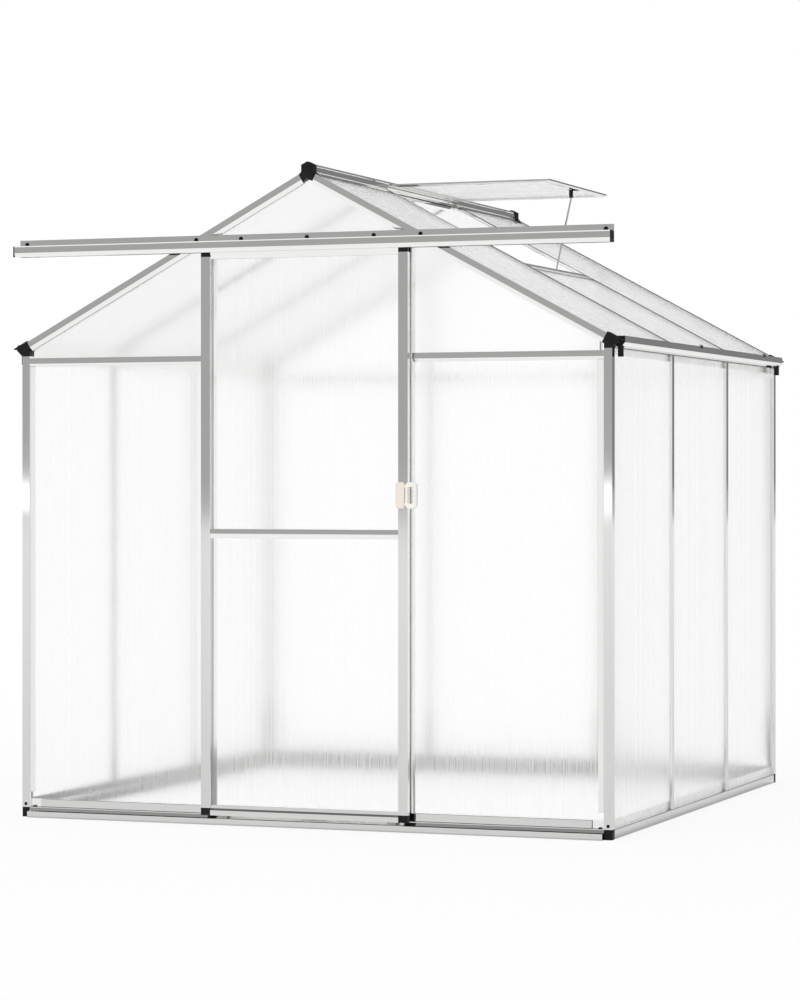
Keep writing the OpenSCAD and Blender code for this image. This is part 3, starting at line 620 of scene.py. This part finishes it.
def twin_wall_tree():
    """Draws the section of a sheet with its cells, and extrudes it along Z."""
    inputs = (
        ("Geometry", "Geometry"),
        ("Width", "Float", 1.0),
        ("Thickness", "Float", 0.004),
        ("Length", "Float", 1.0),
        ("Cells", "Int", 10),
        ("Skin", "Float", SKIN_T),
        ("Rib", "Float", RIB_T),
        ("Skin Material", "Material"),
        ("Cell Material", "Material"),
        ("Rib Material", "Material"),
    )
    outputs = (("Geometry", "Geometry"),)
    tree, given, out = new_group("twin_wall_sheet", "GeometryNodeTree", inputs, outputs)

    def step(kind, **inputs):
        """Makes a step of the tree. An underscore stands for a space in an input's name."""
        inputs = {word.replace("_", " "): value for word, value in inputs.items()}
        return add(tree, "GeometryNode" + kind, inputs)[0]

    def sum_of(operation, *values):
        return maths(tree, operation, *values)

    def times(one, two):
        return sum_of("MULTIPLY", one, two)

    def along(axis, length):
        return add(tree, "ShaderNodeCombineXYZ", {axis: length})["Vector"]

    # The sheet's outline, and a row of cells inside it
    width, skin, rib, count = (given[word] for word in ("Width", "Skin", "Rib", "Cells"))
    inner_width = sum_of("SUBTRACT", width, rib)
    pitch = sum_of("DIVIDE", inner_width, count)
    hollow = sum_of("SUBTRACT", given["Thickness"], times(skin, 2))
    first = times(sum_of("SUBTRACT", count, 1), times(pitch, -0.5))
    outline = step("CurvePrimitiveQuadrilateral", Width=width, Height=given["Thickness"])
    cell_width = sum_of("SUBTRACT", pitch, rib)
    cell = step("CurvePrimitiveQuadrilateral", Width=cell_width, Height=hollow)
    row = step("MeshLine", Count=count, Start_Location=along("X", first), Offset=along("X", pitch))
    cells = step("InstanceOnPoints", Points=row, Instance=cell)
    curves = step("RealizeInstances", Geometry=step("JoinGeometry", Geometry=[outline, cells]))
    section = step("FillCurve", Curve=curves)
    length = along("Z", given["Length"])
    walls = step("ExtrudeMesh", Mesh=section, Offset=length, Individual=False)
    both = step("JoinGeometry", Geometry=[walls, step("FlipFaces", Mesh=section)])
    welded = step("MergeByDistance", Geometry=both, Distance=1e-6)
    whole = step("RealizeInstances", Geometry=welded)
    # How far across the sheet each point is, counted in cells
    spot = add(tree, "ShaderNodeSeparateXYZ", {"Vector": step("InputPosition")})
    cell_number = sum_of("DIVIDE", spot["X"], pitch)
    last = step("StoreNamedAttribute", Name="across", Geometry=whole, Value=cell_number)
    # The faces inside the cells: the skins' inner faces, and the ribs' sides
    way = add(tree, "ShaderNodeSeparateXYZ", {"Vector": step("InputNormal")})

    def within(value, limit):
        return sum_of("LESS_THAN", sum_of("ABSOLUTE", value), limit)

    half_hollow = times(sum_of("ADD", hollow, skin), 0.5)
    half_width = times(inner_width, 0.5)
    inner = times(within(spot["Y"], half_hollow), within(spot["X"], half_width))
    inside = times(within(way["Z"], 0.5), inner)
    on_rib = times(inside, within(way["Y"], 0.5))
    last = step("SetMaterial", Geometry=last, Material=given["Skin Material"])
    for word, chosen in (("Cell Material", inside), ("Rib Material", on_rib)):
        last = step("SetMaterial", Geometry=last, Material=given[word], Selection=chosen)
    feed(tree, out, {"Geometry": last})
    return tree


def plain_mesh(made):
    """What an object's modifiers make of it, as a mesh without them."""
    graph = bpy.context.evaluated_depsgraph_get()
    mesh = bpy.data.meshes.new_from_object(made.evaluated_get(graph), depsgraph=graph)
    bpy.data.objects.remove(made)
    return mesh


def grown(tree, start, **values):
    """The plain mesh that a Geometry Nodes tree makes from a starting mesh. Its inputs
    are set by their sockets' identifiers."""
    seed = placed("seed", start)
    modifier = seed.modifiers.new("made", "NODES")
    modifier.node_group = tree
    for socket in tree.interface.items_tree:
        word = socket.name.replace(" ", "_")
        if socket.in_out == "INPUT" and word in values:
            modifier[socket.identifier] = values[word]
    mesh = plain_mesh(seed)
    bpy.data.meshes.remove(start)
    if mesh.materials[0] is None:
        mesh.materials.pop(index=0)
    return mesh


TWIN_WALL = twin_wall_tree()


def solids_of(node):
    """The separate solids of a CAD node, each as a closed mesh."""
    whole = merged_copy(node)
    whole.verts.index_update()
    seen, made = set(), []
    for start in whole.verts:
        if start.index in seen:
            continue
        group, edge = {start.index}, [start]
        while edge:
            corner = edge.pop()
            for line in corner.link_edges:
                other = line.other_vert(corner)
                if other.index not in group:
                    group.add(other.index)
                    edge.append(other)
        seen |= group
        part = whole.copy()
        others = [corner for corner in part.verts if corner.index not in group]
        bmesh.ops.delete(part, geom=others, context="VERTS")
        made.append(part)
    whole.free()
    return made


def cut_to(mesh, solid):
    """The part of a mesh that lies inside a solid."""
    inside = placed("inside", mesh)
    limit = placed("limit", finished("shape", solid.copy()))
    cut = inside.modifiers.new("cut", "BOOLEAN")
    cut.operation = "INTERSECT"
    cut.solver = "MANIFOLD"
    cut.object = limit
    result = plain_mesh(inside)
    bpy.data.objects.remove(limit)
    return result


def twin_wall(node, body, turn, cut=False):
    """Stands for a CAD node's sheets. The turn takes a sheet's width to X, its thickness
    to Y and its ribs to Z; where the sheet isn't a rectangle, it is cut to the CAD solid."""
    whole = bmesh.new()
    spare = 0.001 if cut else 0.0
    for solid in solids_of(node):
        turned = [turn @ corner.co for corner in solid.verts]
        low = Vector([min(spot[k] for spot in turned) for k in range(3)])
        high = Vector([max(spot[k] for spot in turned) for k in range(3)])
        size = high - low
        mesh = grown(
            TWIN_WALL,
            bpy.data.meshes.new("section"),
            Width=size.x + 2 * spare,
            Thickness=size.y,
            Length=size.z + 2 * spare,
            Cells=max(1, round(size.x / RIB_PITCH)),
            **SHEET_PLASTICS,
        )
        foot = Vector(((low.x + high.x) / 2, (low.y + high.y) / 2, low.z - spare))
        mesh.transform(turn.inverted() @ Matrix.Translation(foot))
        if cut:
            mesh = cut_to(mesh, solid)
        solid.free()
        whole.from_mesh(mesh)
        bpy.data.meshes.remove(mesh)
    plastics = SHEET_PLASTICS.values()
    piece("twin_wall_" + node, whole, plastics, body, node)


ACROSS = Matrix.Identity(4)
ALONG_SIDE = Matrix.Rotation(QUARTER, 4, "Z")


def down_slope(side):
    """Takes a roof sheet's width to X, its thickness to Y and its ribs to Z."""
    down = Vector((side * math.cos(roof_pitch), 0, -math.sin(roof_pitch)))
    wide = Vector((0, 1, 0))
    return Matrix((wide, down.cross(wide), down)).to_4x4()


twin_wall("front_wall_sheets", "frame", ACROSS)
twin_wall("back_wall_sheets", "frame", ACROSS)
twin_wall("left_wall_sheets", "frame", ALONG_SIDE)
twin_wall("right_wall_sheets", "frame", ALONG_SIDE)
twin_wall("front_gable_sheets", "frame", ACROSS, cut=True)
twin_wall("back_gable_sheets", "frame", ACROSS, cut=True)
twin_wall("left_roof_sheets", "frame", down_slope(-1))
twin_wall("right_roof_sheets", "frame", down_slope(1))

# ---- Roof vent ----
# A light sash of thin aluminium bars round one sheet hooks over a bead on the ridge. A
# steel rod under a black bracket props it open from a cross bar.

dress(metal_along_y, "vent_sill", "vent_hinge")

# The sash's bars are thin above the sheet, and their outer faces turn in below it
sash_thinning, sash_lean = 0.0024, 0.0030
work = merged_copy("vent_frame")
sash_low, sash_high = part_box("vent_frame")
sash_middle = (sash_low[2] + sash_high[2]) / 2
split(work, (0, 0, sash_middle - sash_thinning / 2), (0, 0, 1))
for corner in work.verts:
    if corner.co.z > sash_high[2] - TOUCH:
        corner.co.z -= sash_thinning
    elif corner.co.z < sash_low[2] + TOUCH:
        if corner.co.x > sash_high[0] - TOUCH:
            corner.co.x -= sash_lean
        for edge, inwards in ((sash_low[1], 1), (sash_high[1], -1)):
            if abs(corner.co.y - edge) < TOUCH:
                corner.co.y += inwards * sash_lean
piece("thin_vent_frame", work, (metal_along_y,), "frame", "vent_frame")
stay_steel = aluminium("stay_steel", (0, 0, 0), (0.50, 0.50, 0.49, 1))
dress(stay_steel, "vent_stay")
dress(black_plastic, "vent_bracket")
sash_turn = Matrix(((0, 1, 0), (0, 0, 1), (1, 0, 0))).to_4x4()
twin_wall("vent_sheet", "frame", sash_turn)

# ---- Door tracks ----
# Two aluminium profiles are bolted across the front. The top one runs past both corners
# and carries the door's rollers, and the bottom one guides its foot.

dress(metal_along_x, "door_top_track")

# A short cap closes the front of the channel at each end
cap_cut = 0.024
cap_back, channel_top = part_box("door_track_ends")[1][1:]
work = merged_copy("door_track_ends")
for corner in work.verts:
    if corner.co.y > cap_back - TOUCH:
        corner.co.y -= cap_cut
piece("short_track_ends", work, (black_plastic,), "frame", "door_track_ends")

# A drip bead along the top edge of the channel
track_low, track_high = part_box("door_top_track")
bead_root, bead_foot = track_low[1] + 0.0002, channel_top - 0.0032
bead = [
    (bead_root, channel_top),
    (track_low[1] - 0.0010, channel_top),
    (track_low[1], bead_foot),
    (bead_root, bead_foot),
]
work = bmesh.new()
drawn(work, bead, track_low[0], track_high[0], along_x)
piece("track_bead", outwards(work), (metal_along_x,), "frame")

# The bottom track: a channel, a sloping back and an upright flange before the sheets
sill_low, sill_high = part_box("door_bottom_track")
sill_y = sill_low[1]
sill_lip, sill_edge = 0.019, 0.0005
flange_half = base_half - 0.038
flange_y = sill_high[1] - metal_t
slope_y, slope_head = flange_y - 0.0014, 0.0310
rest_y = face_y - 0.0002
channel = [
    (sill_y, 0),
    (sill_y, sill_lip - sill_edge),
    (sill_y + sill_edge, sill_lip),
    (sill_y + metal_t, sill_lip),
    (sill_y + metal_t, metal_t),
    (face_y - metal_t, metal_t),
    (face_y - metal_t, slope_foot),
    (slope_y, slope_head - 0.0024),
    (slope_y, slope_head),
    (flange_y + 0.0006, slope_head),
    (rest_y, slope_foot + 0.0010),
    (rest_y, 0),
]
flange = [
    (slope_y, slope_head - 0.0002),
    (flange_y - 0.0003, 0.0333),
    (flange_y, 0.0400),
    (flange_y, sill_high[2]),
    (flange_y + metal_t, sill_high[2]),
    (flange_y + metal_t, slope_head - 0.0002),
]
work = bmesh.new()
drawn(work, channel, sill_low[0], sill_high[0], along_x)
drawn(work, flange, -flange_half, flange_half, along_x)
outwards(work)
piece("bottom_track_drawn", work, (metal_along_x,), "frame", "door_bottom_track")

# ---- Sliding door ----
# Two aluminium stiles and three rails hold two sheets. Black caps close the stiles' ends,
# and the hangers' rollers run on nylon tyres, as the guides at the foot do.

dress(metal_upright, "door_stiles", "door_hangers")
dress(black_plastic, "door_end_caps")
nylon = moulded("natural_nylon", (0.60, 0.60, 0.58, 1), 0.05, 0.4, 0.05)
dress(nylon, "door_rollers", "door_guides")

# The middle rail is a ridge, the top rail leans in, and the bottom rail is stepped
door_low, door_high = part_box("door_rails")
rail_front, rail_foot, rail_top = door_low[1], door_low[2], door_high[2]
bevel_depth, ridge_lean, foot_lean, step_depth = 0.005, 0.0028, 0.0045, 0.005
ridge_z, middle_rail_top, top_rail_foot, foot_rail_top = 0.885, 1.0, 1.70, 0.2
step_z = rail_foot + 0.0155
work = merged_copy("door_rails")
front = [corner for corner in work.verts if corner.co.y < rail_front + TOUCH]
lean = [c for c in work.verts if abs(c.co.y - rail_front - bevel_depth) < TOUCH]
for corner in front:
    if ridge_z < corner.co.z < middle_rail_top:
        corner.co.y += ridge_lean
    if top_rail_foot < corner.co.z < rail_top - 0.001:
        corner.co.z = rail_top - 0.002
for corner in lean:
    if corner.co.z < rail_foot + 0.001:
        corner.co.y -= foot_lean
split(
    work,
    (0, 0, step_z + 0.006),
    (0, 0, 1),
    lambda face: face.calc_center_median().z < foot_rail_top,
)
for corner in work.verts:
    if corner.co.y < rail_front + TOUCH and step_z + 0.005 < corner.co.z < foot_rail_top:
        corner.co.y += step_depth
piece("shaped_door_rails", work, (metal_along_x,), "door", "door_rails")
twin_wall("door_sheets", "door", ACROSS)

# ---- Handle ----
# A cream moulding in two parts on the right stile: a plate screwed to it with a raised
# rim, and beside it an upright grip that hangs on two knuckles.

cream_plastic = moulded("cream_plastic", (0.90, 0.82, 0.735, 1), 0.03, 0.35, 0.08)
ivory_plastic = moulded("ivory_plastic", (0.94, 0.92, 0.85, 1), 0.02, 0.35, 0.08)
handle_low, handle_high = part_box("door_handle")
handle_mid = (handle_low[2] + handle_high[2]) / 2
handle_h = handle_high[2] - handle_low[2]
handle_back = handle_high[1]
handle_d = handle_back - handle_low[1]
corner_steps = 6


def round_loop(work, middle, width, height, radius, proud):
    """A rectangle with rounded corners, standing proud of the stile."""
    loop = []
    for quarter in range(4):
        side_x = 1 if quarter in (0, 3) else -1
        side_z = 1 if quarter in (0, 1) else -1
        for k in range(corner_steps + 1):
            turn = (quarter + k / corner_steps) * QUARTER
            x = middle + side_x * (width / 2 - radius) + radius * math.cos(turn)
            z = handle_mid + side_z * (height / 2 - radius) + radius * math.sin(turn)
            loop.append(work.verts.new((x, handle_back - proud, z)))
    return loop


def rim_loops(work, middle, width, height, radius, steps):
    """Loops that follow one rounded rectangle. Each step is (in from it, proud)."""
    return [
        round_loop(work, middle, width - 2 * inset, height - 2 * inset, radius - inset, proud)
        for inset, proud in steps
    ]


def lofted(work, loops, closed):
    """Skins a row of loops: round to the first again, or with a lid at both ends."""
    for one, two in zip(loops, loops[1:] + (loops[:1] if closed else [])):
        skinned(work, one, two)
    if not closed:
        work.faces.new(loops[0][::-1])
        work.faces.new(loops[-1])


def smooth_sides(made):
    for face in made.data.polygons:
        face.use_smooth = len(face.vertices) == 4
    return made


# The plate, with a raised rim round its face
plate_w, plate_mid, plate_d = 0.0290, handle_low[0] + 0.0140, 0.6 * handle_d
plate_steps = (
    (0.0, 0.0),
    (0.0, plate_d - 0.0022),
    (0.0007, plate_d - 0.0007),
    (0.0020, plate_d),
    (0.0034, plate_d - 0.0001),
    (0.0040, plate_d - 0.0011),
)
work = bmesh.new()
loops = rim_loops(work, plate_mid, plate_w, handle_h, 0.0085, plate_steps)
lofted(work, loops, closed=False)
plate = piece("handle_plate", outwards(work), (cream_plastic,), "door")
smooth_sides(plate)

# The grip, an upright loop, and the two knuckles between it and the plate
grip_w, grip_mid = 0.0352, handle_high[0] - 0.0176
hole_w, hole_h = 0.0195, 0.049
outer_steps = (
    (0.0, 0.0),
    (0.0, handle_d - 0.0026),
    (0.0008, handle_d - 0.0008),
    (0.0024, handle_d),
)
hole_steps = (
    (-0.0016, handle_d),
    (-0.0005, handle_d - 0.0006),
    (0.0, handle_d - 0.002),
    (0.0, 0.0),
)
work = bmesh.new()
loops = rim_loops(work, grip_mid, grip_w, handle_h, 0.012, outer_steps)
loops += rim_loops(work, grip_mid, hole_w, hole_h, 0.0055, hole_steps)
lofted(work, loops, closed=True)
knuckle_start, knuckle_end = plate_mid + plate_w / 2 - 0.001, grip_mid - grip_w / 2 + 0.001
knuckle_y, half_d, half_h, sides = handle_back - 0.0055, 0.0038, 0.0045, 12
for end in (-1, 1):
    knuckle_z = handle_mid + end * (handle_h / 2 - 0.0125)
    turns = [k * math.tau / sides for k in range(sides)]
    outline = [
        (knuckle_y + half_d * math.sin(turn), knuckle_z + half_h * math.cos(turn))
        for turn in turns
    ]
    drawn(work, outline, knuckle_start, knuckle_end, along_x)

# A black strip behind the knuckles is painted shade: it darkens the gap between the plate and the
# grip
gap_shade_front, gap_shade_inset = handle_back - 0.0070, 0.006
outline = [
    (knuckle_start, gap_shade_front),
    (knuckle_end, gap_shade_front),
    (knuckle_end, handle_back),
    (knuckle_start, handle_back),
]
gap_shade = bmesh.new()
drawn(gap_shade, outline, handle_low[2] + gap_shade_inset, handle_high[2] - gap_shade_inset, upright)
piece("handle_hinge", outwards(gap_shade), (black_plastic,), "door")
smooth_sides(piece("handle_grip", outwards(work), (ivory_plastic,), "door"))
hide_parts("door_handle")

# ---- Bolts, screws and clips ----
# Domed black heads on a washer hold the top track, and smaller ones the posts and the
# base. Sprung black clips hook over the gutters' rims.


def set_out_tree():
    """Sets a shape out on points, turned one way."""
    inputs = (
        ("Geometry", "Geometry"),
        ("Shape", "Object"),
        ("Turn", "Rotation"),
        ("Size", "Float", 1.0),
        ("Finish", "Material"),
    )
    outputs = (("Geometry", "Geometry"),)
    tree, given, out = new_group("set_out", "GeometryNodeTree", inputs, outputs)
    shape = add(tree, "GeometryNodeObjectInfo", {"Object": given["Shape"]})["Geometry"]
    inputs = {
        "Points": given["Geometry"],
        "Instance": shape,
        "Rotation": given["Turn"],
        "Scale": given["Size"],
    }
    spread = add(tree, "GeometryNodeInstanceOnPoints", inputs)["Instances"]
    plain = add(tree, "GeometryNodeRealizeInstances", {"Geometry": spread})["Geometry"]
    inputs = {"Geometry": plain, "Material": given["Finish"]}
    feed(tree, out, {"Geometry": add(tree, "GeometryNodeSetMaterial", inputs)["Geometry"]})
    return tree


SET_OUT = set_out_tree()


def pattern(name, work):
    """A shape to be set out. It isn't part of the scene itself."""
    return bpy.data.objects.new(name, finished(name, outwards(work)))


def turned(work, profile, sides):
    """Turns a closed shape on Z from its (radius, height) steps."""
    turns = [k * math.tau / sides for k in range(sides)]
    loops = [
        [work.verts.new((r * math.cos(turn), r * math.sin(turn), h)) for turn in turns]
        for r, h in profile
    ]
    lofted(work, loops, closed=False)


def set_out(name, shape, size, turn, spots):
    """Fixes a black shape to the frame at each spot."""
    start = bpy.data.meshes.new(name)
    start.from_pydata(spots, [], [])
    mesh = grown(SET_OUT, start, Shape=shape, Turn=turn, Size=size, Finish=black_plastic)
    mesh.name = name
    made = placed(name, mesh)
    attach(made, "frame")


# A head 10 mm across, on a washer, with a socket
washer = ((0.0056, 0), (0.0056, 0.0009), (0.0048, 0.0011))
dome = ((0.0050, 0.001), (0.0048, 0.0026), (0.0037, 0.0041), (0.0022, 0.0047), (0.0020, 0.0030))
work = bmesh.new()
turned(work, washer, 14)
turned(work, dome, 12)
bolt_head = pattern("bolt_head", work)
facing_front, facing_back, facing_up = (QUARTER, 0, 0), (-QUARTER, 0, 0), (0, 0, 0)

bolt_y, bolt_z = track_high[1] - metal_t, channel_top + 0.0068
bolt_places = (-0.932, -0.3615, -0.214, 0, 0.214, 0.3615, 0.932)
spots = [(x, bolt_y, bolt_z) for x in bolt_places]
set_out("track_bolts", bolt_head, 1.2, facing_front, spots)

post_screw_x, post_screw_z = 0.9377, 0.040
for word, y, turn in (("front", post_low[1], facing_front), ("back", post_high[1], facing_back)):
    spots = [(side * post_screw_x, y, post_screw_z) for side in (-1, 1)]
    set_out(word + "_post_screws", bolt_head, 0.9, turn, spots)

base_screw_x = 0.911
base_screw_places = ((flange_y, slope_head + seat_room), (post_high[1] - 0.003, base_top))
spots = [(side * base_screw_x, y, z) for side in (-1, 1) for y, z in base_screw_places]
set_out("base_screws", bolt_head, 0.95, facing_up, spots)

# A clip hooks over the rim and down inside the gutter
clip_half = 0.011
clip_section = (
    (0.0006, -0.006),
    (0.0022, -0.006),
    (0.0026, 0.0032),
    (-0.0050, 0.0052),
    (-0.0050, 0.0034),
    (0.0006, 0.0014),
)
work = bmesh.new()
drawn(work, clip_section, -clip_half, clip_half, along_y)
rim_clip = pattern("rim_clip", work)
gutter_low, gutter_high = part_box("gutters")
clip_x, clip_z, clip_places = gutter_high[0] - 0.001, gutter_high[2], (-0.076, 0.714)
for word, side, turn in (("right", 1, (0, 0, 0)), ("left", -1, (0, 0, math.pi))):
    spots = [(side * clip_x, y, clip_z) for y in clip_places]
    set_out(word + "_gutter_clips", rim_clip, 1.0, turn, spots)

# ---- Studio ----
# A pale floor and backdrop, soft light from all round with a little more from the upper
# left, and grey cloth overhead and two white panels that only show in the metal.

WHITE = (1, 1, 1, 1)


def seen_directly(tree):
    """1 for rays from the camera, from a reflection or through a sheet."""
    ray = add(tree, "ShaderNodeLightPath")
    first = maths(tree, "MAXIMUM", ray["Is Camera Ray"], ray["Is Glossy Ray"])
    return maths(tree, "MAXIMUM", first, ray["Is Transmission Ray"])


def when_mirrored(tree, level):
    """A level for rays that a surface mirrors, and 1 for those that pass through a sheet."""
    ray = add(tree, "ShaderNodeLightPath")
    ways = (ray["Is Glossy Ray"], ray["Is Transmission Ray"])
    return between(tree, maths(tree, "SUBTRACT", *ways, use_clamp=True), 1.0, level)


def between(tree, share, low, high):
    """The first level where the share is 0, the second where it is 1."""
    return add(tree, "ShaderNodeMix", {0: share, 2: low, 3: high}, data_type="FLOAT")[0]


scene = bpy.context.scene
world = bpy.data.worlds.new("studio")
scene.world = world
world.use_nodes = True
tree = world.node_tree
tree.nodes.clear()
seen = seen_directly(tree)
# A little more comes from the upper left, in front
place = add(tree, "ShaderNodeTexCoord")["Generated"]
upper_left = Vector((-0.5, -0.6, 0.62)).normalized()
side = vectors(tree, "DOT_PRODUCT", {0: place, 1: upper_left})["Value"]
level = ranged(tree, side, 0.0, 1.0, 0.85, 1.25)
light, backdrop = [
    add(tree, "ShaderNodeBackground", {"Color": WHITE, "Strength": strength})["Background"]
    for strength in (level, 1.0)
]
out = tree.nodes.new("ShaderNodeOutputWorld")
feed(tree, out, {"Surface": mixed(tree, seen, light, backdrop)})
world.cycles.sampling_method = "NONE"


def staged(name, work, material, hidden_from=()):
    """Sets up a part of the studio. It doesn't light the object as a lamp would."""
    material.cycles.emission_sampling = "NONE"
    made = placed(name, finished(name, work, (material,)))
    for ray in hidden_from:
        setattr(made, "visible_" + ray, False)


ALL_BUT_MIRRORED = ("camera", "diffuse", "transmission", "shadow")

floor_reach = 300
material, tree, shader = new_material("pale_floor")
inputs = {"Base Color": (0.86, 0.86, 0.86, 1), "Roughness": 0.9, "Specular IOR Level": 0}
feed(tree, shader, inputs)
# How far a spot is outside the frame's footprint
place = add(tree, "ShaderNodeTexCoord")["Object"]
whole = vectors(tree, "ABSOLUTE", {0: place})["Vector"]
beyond = vectors(tree, "SUBTRACT", {0: whole, 1: (0.95, 0.95, 0)})["Vector"]
edge = vectors(tree, "MAXIMUM", {0: beyond})["Vector"]
away = vectors(tree, "LENGTH", {0: edge})["Value"]
# Mirrored at a glance the floor lightens with the distance and ends in grey, from
# above it is white, and inside the frame it is in shade
glance = ranged(tree, maths(tree, "LOGARITHM", away, 10), 0.0, 1.78, 0.70, 0.88)
inside = ranged(tree, away, 0.0, 0.05, 0.45, 1.0)
outside = ranged(tree, away, 62.0, 85.0, 1.0, 0.52)
flat = maths(tree, "MULTIPLY", glance, outside)
slant = add(tree, "ShaderNodeLayerWeight")["Facing"]
lit = between(tree, ranged(tree, slant, 0.86, 0.68, 0.0, 1.0), flat, 1.0)
level = when_mirrored(tree, maths(tree, "MULTIPLY", lit, inside))
glow = add(tree, "ShaderNodeEmission", {"Strength": level})["Emission"]
# The object's shadow shows near it, and further out the floor turns white
fade = ranged(tree, away, 0.6, 4.0, 0.85, 1.0)
share = maths(tree, "MULTIPLY", seen_directly(tree), fade)
surface = mixed(tree, share, shader.outputs["BSDF"], glow)
feed(tree, tree.nodes["Material Output"], {"Surface": surface})
work = bmesh.new()
bmesh.ops.create_grid(work, x_segments=1, y_segments=1, size=floor_reach)
staged("floor", work, material)

# A dome over the studio that only the metal and the sheets mirror
reach = 280
material, tree, shader = new_material("grey_cloth")
tree.nodes.remove(shader)
place = add(tree, "ShaderNodeTexCoord")["Object"]
spot = add(tree, "ShaderNodeSeparateXYZ", {"Vector": place})
# Darker at the back, and most behind to the right
depth = ranged(tree, spot["Y"], -0.7 * reach, 0.7 * reach, 0.42, 0.27)
right = ranged(tree, spot["X"], -0.1 * reach, 0.25 * reach, 0.0, 0.05)
behind = ranged(tree, spot["Y"], -0.5 * reach, 0.6 * reach, 0.2, 1.0)
level = maths(tree, "SUBTRACT", depth, maths(tree, "MULTIPLY", right, behind))
# Darkest overhead
over = ranged(tree, spot["Z"], 0.42 * reach, 0.60 * reach, 1.0, 0.42)
level = when_mirrored(tree, maths(tree, "MULTIPLY", level, over))
glow = add(tree, "ShaderNodeEmission", {"Strength": level})["Emission"]
feed(tree, tree.nodes["Material Output"], {"Surface": glow})
work = bmesh.new()
bmesh.ops.create_uvsphere(work, u_segments=64, v_segments=32, radius=reach)
lower = [corner for corner in work.verts if corner.co.z < -0.001]
bmesh.ops.delete(work, geom=lower, context="VERTS")
bmesh.ops.reverse_faces(work, faces=work.faces)
staged("grey_cloth", work, material, ALL_BUT_MIRRORED)

# Two small white panels that stand in front and only show in the posts
material, tree, shader = new_material("soft_panel")
inputs = {"Base Color": (0, 0, 0, 1), "Emission Color": WHITE, "Emission Strength": 1.6}
feed(tree, shader, inputs)
half, panel_y, foot, head = 0.7, -14, 0.80, 1.02
work = bmesh.new()
for middle in (-7.67, -3.06):
    left, right = middle - half, middle + half
    spots = ((left, foot), (right, foot), (right, head), (left, head))
    work.faces.new([work.verts.new((x, panel_y, z)) for x, z in spots])
staged("soft_panels", work, material, ALL_BUT_MIRRORED)

data = bpy.data.cameras.new("camera")
data.sensor_width = 36
data.lens = 117.34
data.shift_y = -0.02218
data.clip_end = 400
camera = placed("camera", data)
camera.location = (3.6952, -9.9403, 1.0454)
camera.rotation_euler = (QUARTER, 0, math.radians(20.68))
scene.camera = camera
scene.view_settings.view_transform = "Standard"
scene.cycles.max_bounces = 24
scene.cycles.transmission_bounces = 24
scene.cycles.transparent_max_bounces = 32
